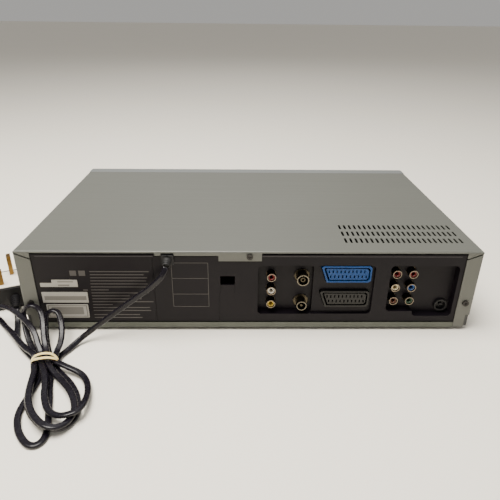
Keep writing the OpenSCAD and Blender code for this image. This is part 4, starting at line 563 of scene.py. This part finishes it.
def silver_paint(name, colour):
    """Moulding sprayed with flake silver: tiny bright flakes under a thin clear coat. The flakes are drawn
    coarser than real ones, so that they show."""
    material, tree, shader, where = begin(name)
    flakes = add_node(tree, "ShaderNodeTexVoronoi", {"Vector": where, "Scale": marks(0.38)})
    cloud = add_node(tree, "ShaderNodeTexNoise", {"Vector": where, "Scale": marks(70), "Detail": 3.0})
    spark = add_node(
        tree, "ShaderNodeMapRange",
        {"Value": flakes.outputs["Distance"], "From Min": 0.1, "From Max": 0.7, "To Min": 0.0,
         "To Max": 0.35})
    flaked = add_node(
        tree, "ShaderNodeMix",
        {0: spark.outputs[0], 6: drifting(tree, cloud.outputs[0], colour, 0.05, 0.05),
         7: shift(colour, -0.22)},
        data_type="RGBA")
    relief = add_node(
        tree, "ShaderNodeBump",
        {"Height": flakes.outputs["Distance"], "Strength": 0.08, "Distance": 0.02 * MM})
    set_inputs(tree, shader, {
        "Base Color": flaked.outputs[2], "Normal": relief.outputs[0], "Metallic": 0.55, "Roughness": 0.34,
        "Coat Weight": 0.3, "Coat Roughness": 0.12})
    return material


def rolled_steel(name, colour, rough, spangle=0.0, dull=None, rim=0.0):
    """Plated sheet steel: fine rolling lines one way, and pale zinc spangles where it is galvanised."""
    material, tree, shader, where = begin(name)
    along = add_node(tree, "ShaderNodeMapping", {"Vector": where, "Scale": marks(0.5, 18.5, 0.5)})
    lines = add_node(tree, "ShaderNodeTexNoise", {"Vector": along.outputs[0], "Scale": 1.0, "Detail": 4.0})
    cells = add_node(tree, "ShaderNodeTexVoronoi", {"Vector": where, "Scale": marks(6)})
    cloud = add_node(tree, "ShaderNodeTexNoise", {"Vector": where, "Scale": marks(45), "Detail": 3.0})
    grey = add_node(tree, "ShaderNodeRGBToBW", {"Color": cells.outputs["Color"]})
    patch = add_node(
        tree, "ShaderNodeMix", {0: spangle, 2: cloud.outputs[0], 3: grey.outputs[0]}, data_type="FLOAT")
    base = drifting(tree, patch.outputs[0], colour, 0.12, 0.14)
    dulled = add_node(
        tree, "ShaderNodeMapRange",
        {"Value": lines.outputs[0], "From Min": 0.3, "From Max": 0.7, "To Min": rough - 0.08,
         "To Max": rough + 0.1})
    relief = add_node(
        tree, "ShaderNodeBump", {"Height": lines.outputs[0], "Strength": 0.12, "Distance": 0.02 * MM})
    set_inputs(tree, shader, {
        # when a barrel shade is given, a socket's barrel takes that painted shade behind its rim
        "Base Color": shade_behind_rim(tree, where, base, dull, rim) if dull else base,
        "Roughness": dulled.outputs[0], "Normal": relief.outputs[0], "Metallic": 1.0})
    return material


def bright_metal(name, colour, rough, dull=None, rim=0.0):
    """Turned or ground metal, nickel plated or bare: close tool marks and a slight tarnish. The marks are
    drawn coarser than real ones, so that they show."""
    material, tree, shader, where = begin(name)
    tooled = add_node(tree, "ShaderNodeTexNoise", {"Vector": where, "Scale": marks(1.1), "Detail": 3.0})
    tarnish = add_node(tree, "ShaderNodeTexNoise", {"Vector": where, "Scale": marks(6.25), "Detail": 4.0})
    base = drifting(tree, tarnish.outputs[0], colour, 0.06, 0.22)
    dulled = add_node(
        tree, "ShaderNodeMapRange",
        {"Value": tarnish.outputs[0], "From Min": 0.3, "From Max": 0.75, "To Min": rough + 0.1,
         "To Max": rough - 0.05})
    relief = add_node(
        tree, "ShaderNodeBump", {"Height": tooled.outputs[0], "Strength": 0.08, "Distance": 0.01 * MM})
    set_inputs(tree, shader, {
        # when a barrel shade is given, a socket's barrel takes that painted shade behind its rim
        "Base Color": shade_behind_rim(tree, where, base, dull, rim) if dull else base,
        "Roughness": dulled.outputs[0], "Normal": relief.outputs[0], "Metallic": 1.0})
    return material


def dull_rubber(name, colour, rough):
    """Moulded rubber: matt, with a pale bloom where it has been touched least."""
    material, tree, shader, where = begin(name)
    bloom = add_node(tree, "ShaderNodeTexNoise", {"Vector": where, "Scale": marks(8.3), "Detail": 4.0})
    pores = add_node(tree, "ShaderNodeTexNoise", {"Vector": where, "Scale": marks(0.45), "Detail": 2.0})
    relief = add_node(
        tree, "ShaderNodeBump", {"Height": pores.outputs[0], "Strength": 0.25, "Distance": 0.03 * MM})
    set_inputs(tree, shader, {
        "Base Color": drifting(tree, bloom.outputs[0], colour, 0.5, 0.15), "Roughness": rough,
        "Normal": relief.outputs[0], "IOR": 1.52})
    return material


def lead_sheath(name, colour):
    """Extruded PVC sheath: 14 drawing lines round it, each about 110 mm long, that pull the highlight into
    streaks."""
    material, tree, shader, where = begin(name)
    run = add_node(tree, "ShaderNodeUVMap", {}).outputs[0]
    drawn = add_node(tree, "ShaderNodeMapping", {"Vector": run, "Scale": (14.0, marks(110), 1.0)})
    lines = add_node(tree, "ShaderNodeTexNoise", {"Vector": drawn.outputs[0], "Scale": 1.0, "Detail": 4.0})
    scuffs = add_node(tree, "ShaderNodeTexNoise", {"Vector": where, "Scale": marks(3.85), "Detail": 4.0})
    dulled = add_node(
        tree, "ShaderNodeMapRange",
        {"Value": scuffs.outputs[0], "From Min": 0.3, "From Max": 0.7, "To Min": 0.2, "To Max": 0.32})
    relief = add_node(
        tree, "ShaderNodeBump", {"Height": lines.outputs[0], "Strength": 0.2, "Distance": 0.08 * MM})
    set_inputs(tree, shader, {
        "Base Color": drifting(tree, lines.outputs[0], colour, 0.6, 0.3), "Roughness": dulled.outputs[0],
        "Normal": relief.outputs[0], "Specular IOR Level": 0.3, "IOR": 1.53})
    return material


def band_rubber(name, colour):
    """Natural rubber strip: waxy cream, with 9 stretch lines round it, each about 17 mm long, and a little
    light passing through."""
    material, tree, shader, _ = begin(name)
    run = add_node(tree, "ShaderNodeUVMap", {}).outputs[0]
    pulled = add_node(tree, "ShaderNodeMapping", {"Vector": run, "Scale": (9.0, marks(16.7), 1.0)})
    lines = add_node(tree, "ShaderNodeTexNoise", {"Vector": pulled.outputs[0], "Scale": 1.0, "Detail": 4.0})
    relief = add_node(
        tree, "ShaderNodeBump", {"Height": lines.outputs[0], "Strength": 0.3, "Distance": 0.08 * MM})
    set_inputs(tree, shader, {
        "Base Color": drifting(tree, lines.outputs[0], colour, 0.12, 0.22), "Roughness": 0.5,
        "Normal": relief.outputs[0], "Subsurface Weight": 0.2,
        "Subsurface Radius": (2.0 * MM, 1.3 * MM, 0.6 * MM)})
    return material


def circuit_board(name, colour, track):
    """Glass epoxy or paper board under solder resist: copper tracks show as paler lines round blocks 9.5 mm
    long and 2.3 mm high. Its weave is drawn coarser than the real one, so that it shows."""
    material, tree, shader, where = begin(name)
    tracks = add_node(
        tree, "ShaderNodeTexBrick",
        {"Vector": where, "Color1": colour, "Color2": shift(colour, -0.18), "Mortar": track,
         "Scale": marks(10.5), "Mortar Size": 0.035, "Mortar Smooth": 0.2, "Brick Width": 0.9,
         "Row Height": 0.22})
    weave = add_node(tree, "ShaderNodeTexNoise", {"Vector": where, "Scale": marks(1.4), "Detail": 2.0})
    woven = add_node(
        tree, "ShaderNodeMix",
        {0: weave.outputs[0], 6: tracks.outputs["Color"], 7: shift(colour, 0.1)}, data_type="RGBA")
    relief = add_node(
        tree, "ShaderNodeBump", {"Height": tracks.outputs["Fac"], "Strength": 0.2, "Distance": 0.05 * MM})
    set_inputs(tree, shader, {
        "Base Color": woven.outputs[2], "Roughness": 0.38, "Normal": relief.outputs[0]})
    return material


def foil_plate(name, colour):
    """Printed polyester foil: satin, slightly mottled, with a faint ripple from its glue."""
    material, tree, shader, where = begin(name)
    ripple = add_node(tree, "ShaderNodeTexNoise", {"Vector": where, "Scale": marks(7), "Detail": 3.0})
    speck = add_node(tree, "ShaderNodeTexNoise", {"Vector": where, "Scale": marks(1.1), "Detail": 2.0})
    relief = add_node(
        tree, "ShaderNodeBump", {"Height": ripple.outputs[0], "Strength": 0.15, "Distance": 0.05 * MM})
    set_inputs(tree, shader, {
        "Base Color": drifting(tree, speck.outputs[0], colour, 0.12, 0.16), "Roughness": 0.4,
        "Normal": relief.outputs[0]})
    return material


def pressed_card(name, colour):
    """Pressed white card: soft and slightly yellowed. Its fibres are drawn coarser than real ones, so that
    they show."""
    material, tree, shader, where = begin(name)
    fibre = add_node(tree, "ShaderNodeMapping", {"Vector": where, "Scale": marks(1.1, 3.85, 2)})
    strands = add_node(
        tree, "ShaderNodeTexNoise", {"Vector": fibre.outputs[0], "Scale": 1.0, "Detail": 5.0})
    relief = add_node(
        tree, "ShaderNodeBump", {"Height": strands.outputs[0], "Strength": 0.3, "Distance": 0.06 * MM})
    set_inputs(tree, shader, {
        "Base Color": drifting(tree, strands.outputs[0], colour, 0.06, 0.12), "Roughness": 0.8,
        "Normal": relief.outputs[0]})
    return material


def matt_paper(name, colour):
    """Matt studio paper: a fine tooth, and a tone that drifts slowly across the floor."""
    material, tree, shader, where = begin(name)
    tooth = add_node(tree, "ShaderNodeTexNoise", {"Vector": where, "Scale": marks(3.1), "Detail": 3.0})
    cloud = add_node(tree, "ShaderNodeTexNoise", {"Vector": where, "Scale": marks(500), "Detail": 2.0})
    relief = add_node(
        tree, "ShaderNodeBump", {"Height": tooth.outputs[0], "Strength": 0.1, "Distance": 0.1 * MM})
    set_inputs(tree, shader, {
        "Base Color": drifting(tree, cloud.outputs[0], colour, 0.015, 0.015), "Roughness": 0.7,
        "Normal": relief.outputs[0]})
    return material


def finishes():
    """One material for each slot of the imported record, by the slot's name."""
    own = bpy.context.scene.player_finish
    lead = bpy.context.scene.player_lead
    sleeve_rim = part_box("phono_sleeves")[1].y
    aerial_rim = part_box("tuner_module")[1].y
    return {
        "cover_grey": painted_steel("satin_painted_steel", own.cover[:]),
        "base_steel": rolled_steel("zinc_plated_steel", linear("#5a5d58"), rough=0.38, spangle=0.4),
        "frame_black": moulded_plastic("moulded_polystyrene_frame", linear("#222224")),
        "rear_black": moulded_plastic(
            "moulded_rear_panel", own.back[:], grain_mm=0.5, depth_mm=0.07, rough=0.42, shine=0.15),
        "front_silver": silver_paint("flake_silver_paint", own.front[:]),
        "window_smoke": gloss_plastic("smoked_acrylic", own.window[:], rough=0.06),
        "foot_rubber": dull_rubber("foot_rubber", linear("#1b1b1d"), rough=0.62),
        "screw_dark": bright_metal("black_zinc_screw", linear("#3c3b3a"), rough=0.36),
        "jack_housing": moulded_plastic("nylon_jack_housing", linear("#131214"), rough=0.4, shine=0.25),
        # the phono sleeves' barrels take a painted shade behind their rims; the rims keep the metal's own
        # colour
        "sleeve_metal": bright_metal(
            "nickel_plated_brass", linear("#887c6d"), rough=0.3, dull=linear("#3a332b"), rim=sleeve_rim),
        "insert_colours": gloss_plastic("insulator_polythene", linear("#6d1a17")),
        "scart_blue": moulded_plastic(
            "blue_moulded_socket", own.scart[:], rough=0.4, drift=0.06, shine=0.25),
        "scart_black": moulded_plastic("black_moulded_socket", linear("#0e0d0d"), rough=0.36, shine=0.3),
        # the aerial sockets' barrels take a painted shade behind their rims; the rims keep the tin's own
        # colour
        "tin_plate": rolled_steel(
            "tin_plated_steel", linear("#726c60"), rough=0.32, dull=linear("#4a4438"), rim=aerial_rim),
        "board_green": circuit_board("glass_epoxy_board", linear("#1b452c"), linear("#3a6a40")),
        "board_brown": circuit_board("phenolic_paper_board", linear("#a87a3e"), linear("#c39a5c")),
        "loader_dark": moulded_plastic("loader_polystyrene", linear("#35363a")),
        "tray_dark": moulded_plastic("tray_polystyrene", linear("#2b2c30"), grain_mm=0.25),
        "plated_steel": rolled_steel("plated_sheet_steel", linear("#9b9b98"), rough=0.34),
        "gear_white": moulded_plastic("natural_acetal", linear("#e0dccf"), rough=0.42, drift=0.04),
        "belt_rubber": dull_rubber("belt_rubber", linear("#151515"), rough=0.55),
        "polished_steel": bright_metal("ground_steel", linear("#c9cacb"), rough=0.14),
        "drum_aluminium": bright_metal("turned_aluminium", linear("#d3d4d3"), rough=0.22),
        "deck_steel": rolled_steel("galvanised_sheet_steel", linear("#a7a9a8"), rough=0.4, spangle=0.8),
        "roller_rubber": dull_rubber("roller_rubber", linear("#191919"), rough=0.5),
        "key_silver": silver_paint("silver_key_paint", linear("#c0c3c4")),
        "lead_black": dull_rubber("lead_bush_rubber", linear("#0c0b0d"), rough=0.7),
        "band_rubber": band_rubber("natural_rubber_band", lead.band[:]),
        "plug_black": moulded_plastic(
            "moulded_plug_rubber", linear("#0f0e10"), grain_mm=0.6, rough=0.42, shine=0.3),
        "pin_brass": bright_metal("brass_pins", linear("#86683a"), rough=0.34),
    }


# ---------- Operators ----------

class PLAYER_OT_camera(bpy.types.Operator):
    """Places the camera behind and above the player, a little to one side"""

    bl_idname = "player.camera"
    bl_label = "Camera"

    def execute(self, context):
        data = bpy.data.cameras.new("rear_camera")
        data.sensor_width = 36
        data.lens = context.scene.player_stage.lens
        data.clip_start, data.clip_end = 0.01, 100
        camera = bpy.data.objects.new("rear_camera", data)
        context.scene.collection.objects.link(camera)
        ahead = Vector(CAMERA_AHEAD).normalized()
        right = Vector(CAMERA_RIGHT).normalized()
        above = right.cross(ahead).normalized()
        turn = Matrix((right, above, -ahead)).transposed().to_4x4()
        camera.matrix_world = Matrix.Translation(Vector(CAMERA_AT) * MM) @ turn
        context.scene.camera = camera
        return {"FINISHED"}


class PLAYER_OT_finishes(bpy.types.Operator):
    """Gives every solid of the frame the finish of its slot"""

    bl_idname = "player.finishes"
    bl_label = "Finishes"

    def execute(self, context):
        slots = {part["node"]: part["material_slot"] for part in frame["record"]["subparts"]}
        made = finishes()
        for name, node in frame["nodes"].items():
            node.data.materials.clear()
            node.data.materials.append(made[slots[name]])
        return {"FINISHED"}


class PLAYER_OT_mains_lead(bpy.types.Operator):
    """Sweeps the flat two-core lead from its bush through the tied hank to the plug"""

    bl_idname = "player.mains_lead"
    bl_label = "Mains lead"

    def execute(self, context):
        own = context.scene.player_lead
        line, length = smooth_run([point for run in LEAD_RUNS for point in run], own.step)
        # the broad side faces backwards as far as the hank, and then lies flat. Where the lead runs almost
        # the way that side faces, their cross product is too short to tell, and it keeps its last side
        twist_from = smooth_run(RELIEF_RUN, own.step)[1] - TWIST_BEFORE_HANK * MM
        shortest = 0.22
        raw, last = [], Vector((1, 0, 0))
        for i in range(len(line)):
            ahead = (line[min(i + 1, len(line) - 1)] - line[max(i - 1, 0)]).normalized()
            gone = i * length / len(line)
            flat = min(1.0, max(0.0, (gone - twist_from) / (TWIST_LENGTH * MM)))
            across = ahead.cross(Vector((0, 1, 0)).lerp(UP, flat))
            across = across.normalized() if across.length > shortest else last
            if across.dot(last) < 0:
                across = -across
            raw.append(across)
            last = across
        # each section's side is the mean of its neighbours', so that the lead twists slowly
        spread = 6
        sideways = [
            sum(raw[max(0, i - spread):i + spread + 1], Vector()).normalized() for i in range(len(raw))]
        bm = bmesh.new()
        sweep(bm, line, sideways, own.width / 2, own.thickness / 2, own.segments, square=0.9, dip=0.22)
        sheath = finish_piece(
            bm, "mains_lead_sheath", lead_sheath("extruded_lead_sheath", own.sheath[:]),
            replaces=("mains_lead", "cord_bundle"), smooth=True)
        return {"FINISHED"}


class PLAYER_OT_rubber_band(bpy.types.Operator):
    """Winds the rubber band twice round the tied middle of the hank, the two turns crossing on top"""

    bl_idname = "player.rubber_band"
    bl_label = "Rubber band"

    def execute(self, context):
        own = context.scene.player_lead
        along = Vector((math.cos(TIE_TURN), math.sin(TIE_TURN), 0))
        side = Vector((math.sin(TIE_TURN), -math.cos(TIE_TURN), 0))
        sections = 64
        square_across, square_up = 0.6, 0.62
        bm = bmesh.new()
        # a turn is a flat loop whose corners powers below 1 make square. On top it rises to its crown and
        # leans along the lead, the second turn the other way and over the first
        for lean, crown in BAND_TURNS:
            line = []
            for i in range(sections):
                c = math.cos(2 * math.pi * i / sections)
                s = math.sin(2 * math.pi * i / sections)
                wide = BAND_HALF_WIDE * math.copysign(abs(c) ** square_across, c)
                tall = BAND_MIDDLE + BAND_HALF_TALL * math.copysign(abs(s) ** square_up, s)
                if s > 0:
                    tall += crown * (1 - (wide / BAND_HALF_WIDE) ** 2)
                apart = lean * (s ** 1.5 if s > 0 else -0.4 * s) - BAND_SKEW * c + BAND_ALONG
                line.append((TIE_AT + side * wide + along * apart + UP * max(tall, BAND_LOWEST)) * MM)
            sweep(
                bm, line, [along] * sections, own.band_width / 2, BAND_THICK * MM / 2, 12, square=0.8,
                closed=True)
        finish_piece(
            bm, "rubber_band_turns", bpy.data.materials["natural_rubber_band"],
            replaces=("rubber_band",), smooth=True)
        return {"FINISHED"}


class PLAYER_OT_jack_inserts(bpy.types.Operator):
    """Turns the coloured insulators of the phono jacks, each with the hole for the plug's pin"""

    bl_idname = "player.jack_inserts"
    bl_label = "Jack inserts"

    def execute(self, context):
        own = context.scene.player_jacks
        outer, bore = own.radius / MM, own.bore / MM
        # from the root in the jack's block to the shoulder and on to the rounded face
        outline = [
            (bore, -6), (outer - 0.3, -6), (outer - 0.3, 0), (outer, 0.1), (outer, 8.2), (outer - 0.5, 8.9),
            (bore + 0.5, 8.7), (bore, 8.0)]
        short_outline = [(radius, max(depth, FRONT_ROOT)) for radius, depth in outline]
        front_face, back_face = (corner.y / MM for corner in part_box("phono_inserts"))
        for shade in JACK_SHADES:
            bm = bmesh.new()
            for x, z, wanted in REAR_JACKS:
                if wanted == shade:
                    turned(bm, outline, (x, back_face - SHOULDER_DEPTH, z))
            for x, z, wanted in FRONT_JACKS:
                if wanted == shade:
                    turned(bm, short_outline, (x, front_face + SHOULDER_DEPTH, z), outwards=-1)
            polythene = gloss_plastic(shade + "_polythene", getattr(own, shade)[:], rough=0.3)
            finish_piece(bm, "insulator_" + shade, polythene, replaces=("phono_inserts",))
        return {"FINISHED"}


class PLAYER_OT_blank_plates(bpy.types.Operator):
    """Lays the blank foil plates on the back, with their plain darker fields"""

    bl_idname = "player.blank_plates"
    bl_label = "Blank plates"

    def execute(self, context):
        own = context.scene.player_prints
        surface = PANEL_Y + own.thickness / MM
        bm = bmesh.new()
        for low, high, corner, over in BLANK_PLATES:
            plate(bm, low, high, PANEL_Y - SUNK, surface + over, corner)
        finish_piece(bm, "blank_plates", foil_plate("printed_foil", own.plate[:]))
        bm = bmesh.new()
        for low, high, corner in PLATE_FIELDS:
            plate(bm, low, high, surface - FIELD_SUNK, surface + FIELD_PROUD, corner)
        for low, high in frame_bars(*LOWEST_PLATE_FRAME):
            plate(bm, low, high, surface - FIELD_SUNK, surface + FIELD_PROUD)
        finish_piece(bm, "plate_fields", foil_plate("shaded_foil", own.shade[:]))
        return {"FINISHED"}


class PLAYER_OT_plain_rules(bpy.types.Operator):
    """Draws the field of plain rules and the empty frame beside it, in muted ink on the panel"""

    bl_idname = "player.plain_rules"
    bl_label = "Plain rules"

    def execute(self, context):
        own = context.scene.player_prints
        half = own.rule / MM / 2
        ink = foil_plate("dull_panel_ink", own.ink[:])
        rules = [(TOP_RULE - i * RULE_PITCH, start, end) for i, (start, end) in enumerate(RULES)]
        bm = bmesh.new()
        for z, start, end in rules + LOWEST_RULES:
            plate(bm, (end, z - half), (start, z + half), PANEL_Y - SUNK, PANEL_Y + INK_PROUD)
        for low, high in SMALL_FIELDS:
            plate(bm, low, high, PANEL_Y - SUNK, PANEL_Y + INK_PROUD)
        finish_piece(bm, "plain_rules", ink)
        bm = bmesh.new()
        for low, high in frame_bars(*EMPTY_FRAME):
            plate(bm, low, high, PANEL_Y - SUNK, PANEL_Y + INK_PROUD)
        finish_piece(bm, "empty_frame", ink)
        return {"FINISHED"}


class PLAYER_OT_ledge_highlight(bpy.types.Operator):
    """Lays a painted highlight along the ledge's edge under the cover, on both sides of its middle flange"""

    bl_idname = "player.ledge_edge"
    bl_label = "Ledge edge"

    def execute(self, context):
        bm = bmesh.new()
        for start, end in LEDGE_RUNS:
            plate(bm, (start, LEDGE_LOW), (end, LEDGE_HIGH), PANEL_Y + LEDGE_NEAR, PANEL_Y + LEDGE_PROUD)
        # a paler plastic strip that stands in for the highlight on the ledge's top edge: painted highlight
        sheen = moulded_plastic("worn_moulding_edge", linear("#373237"), rough=0.5)
        finish_piece(bm, "ledge_edge", sheen)
        return {"FINISHED"}


class PLAYER_OT_plug_card(bpy.types.Operator):
    """Lays the bare card on the plug's face, with the three pins standing through it"""

    bl_idname = "player.plug_card"
    bl_label = "Plug card"

    def execute(self, context):
        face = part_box("mains_plug")[1].z / MM
        lie = (Matrix.Translation(Vector((*PLUG_AT, face)) * MM) @ Matrix.Rotation(PLUG_TURN, 4, "Z")
               @ Matrix.Translation(Vector(CARD_CENTRE) * MM)
               @ Matrix.Diagonal((CARD_SIZE[0] * MM, CARD_SIZE[1] * MM, 1, 1)))
        bm = bmesh.new()
        sheet(bm, lie, CARD_CORNER, rounds=6, thick=(0, 0, CARD_THICK * MM))
        card = pressed_card("pressed_white_card", linear("#e6e0cf"))
        finish_piece(bm, "plug_face_card", card)
        return {"FINISHED"}


class PLAYER_OT_stage(bpy.types.Operator):
    """Builds the wide pale floor and the soft studio lights"""

    bl_idname = "player.stage"
    bl_label = "Stage"

    def execute(self, context):
        own = context.scene.player_stage
        bm = bmesh.new()
        bmesh.ops.create_grid(bm, x_segments=4, y_segments=4, size=FLOOR_HALF)
        mesh = bpy.data.meshes.new("floor")
        bm.to_mesh(mesh)
        bm.free()
        mesh.materials.append(matt_paper("matt_paper_floor", own.floor[:]))
        floor = bpy.data.objects.new("floor", mesh)
        context.scene.collection.objects.link(floor)

        world = bpy.data.worlds.new("studio")
        context.scene.world = world
        world.use_nodes = True
        set_inputs(world.node_tree, world.node_tree.nodes["Background"], {
            "Color": linear("#f4f2ee"), "Strength": SKY_STRENGTH * own.strength})
        for name, place, side, power, colour in LAMPS:
            data = bpy.data.lights.new(name, "AREA")
            data.shape = "SQUARE"
            data.size = side
            data.energy = power * own.strength
            data.color = linear(colour)[:3]
            lamp = bpy.data.objects.new(name, data)
            lamp.location = place
            lamp.rotation_euler = (LAMPS_FACE - Vector(place)).to_track_quat("-Z", "Y").to_euler()
            context.scene.collection.objects.link(lamp)
        return {"FINISHED"}


class PLAYER_PT_panel(bpy.types.Panel):
    """Lists the player's pieces and their settings"""

    bl_label = "Disc and Cassette Player"
    bl_idname = "PLAYER_PT_panel"
    bl_space_type = "VIEW_3D"
    bl_region_type = "UI"
    bl_category = "Player"

    def draw(self, context):
        for operator in OPERATORS:
            self.layout.operator(operator.bl_idname)
        for name in SETTINGS:
            own = getattr(context.scene, name)
            box = self.layout.box()
            for field in own.__annotations__:
                box.prop(own, field)


OPERATORS = (
    PLAYER_OT_camera, PLAYER_OT_finishes, PLAYER_OT_mains_lead, PLAYER_OT_rubber_band, PLAYER_OT_jack_inserts,
    PLAYER_OT_blank_plates, PLAYER_OT_plain_rules, PLAYER_OT_ledge_highlight, PLAYER_OT_plug_card, PLAYER_OT_stage)
SETTINGS = {
    "player_lead": PLAYER_PG_lead, "player_jacks": PLAYER_PG_jacks, "player_prints": PLAYER_PG_prints,
    "player_stage": PLAYER_PG_stage, "player_finish": PLAYER_PG_finish}


def register():
    for group in SETTINGS.values():
        bpy.utils.register_class(group)
    for operator in OPERATORS:
        bpy.utils.register_class(operator)
    bpy.utils.register_class(PLAYER_PT_panel)
    for name, group in SETTINGS.items():
        setattr(bpy.types.Scene, name, PointerProperty(type=group))


def unregister():
    for name in SETTINGS:
        delattr(bpy.types.Scene, name)
    bpy.utils.unregister_class(PLAYER_PT_panel)
    for cls in reversed(tuple(SETTINGS.values()) + OPERATORS):
        bpy.utils.unregister_class(cls)


def main():
    register()
    for operator in OPERATORS:
        family, name = operator.bl_idname.split(".")
        getattr(getattr(bpy.ops, family), name)()


if __name__ == "__main__":
    main()
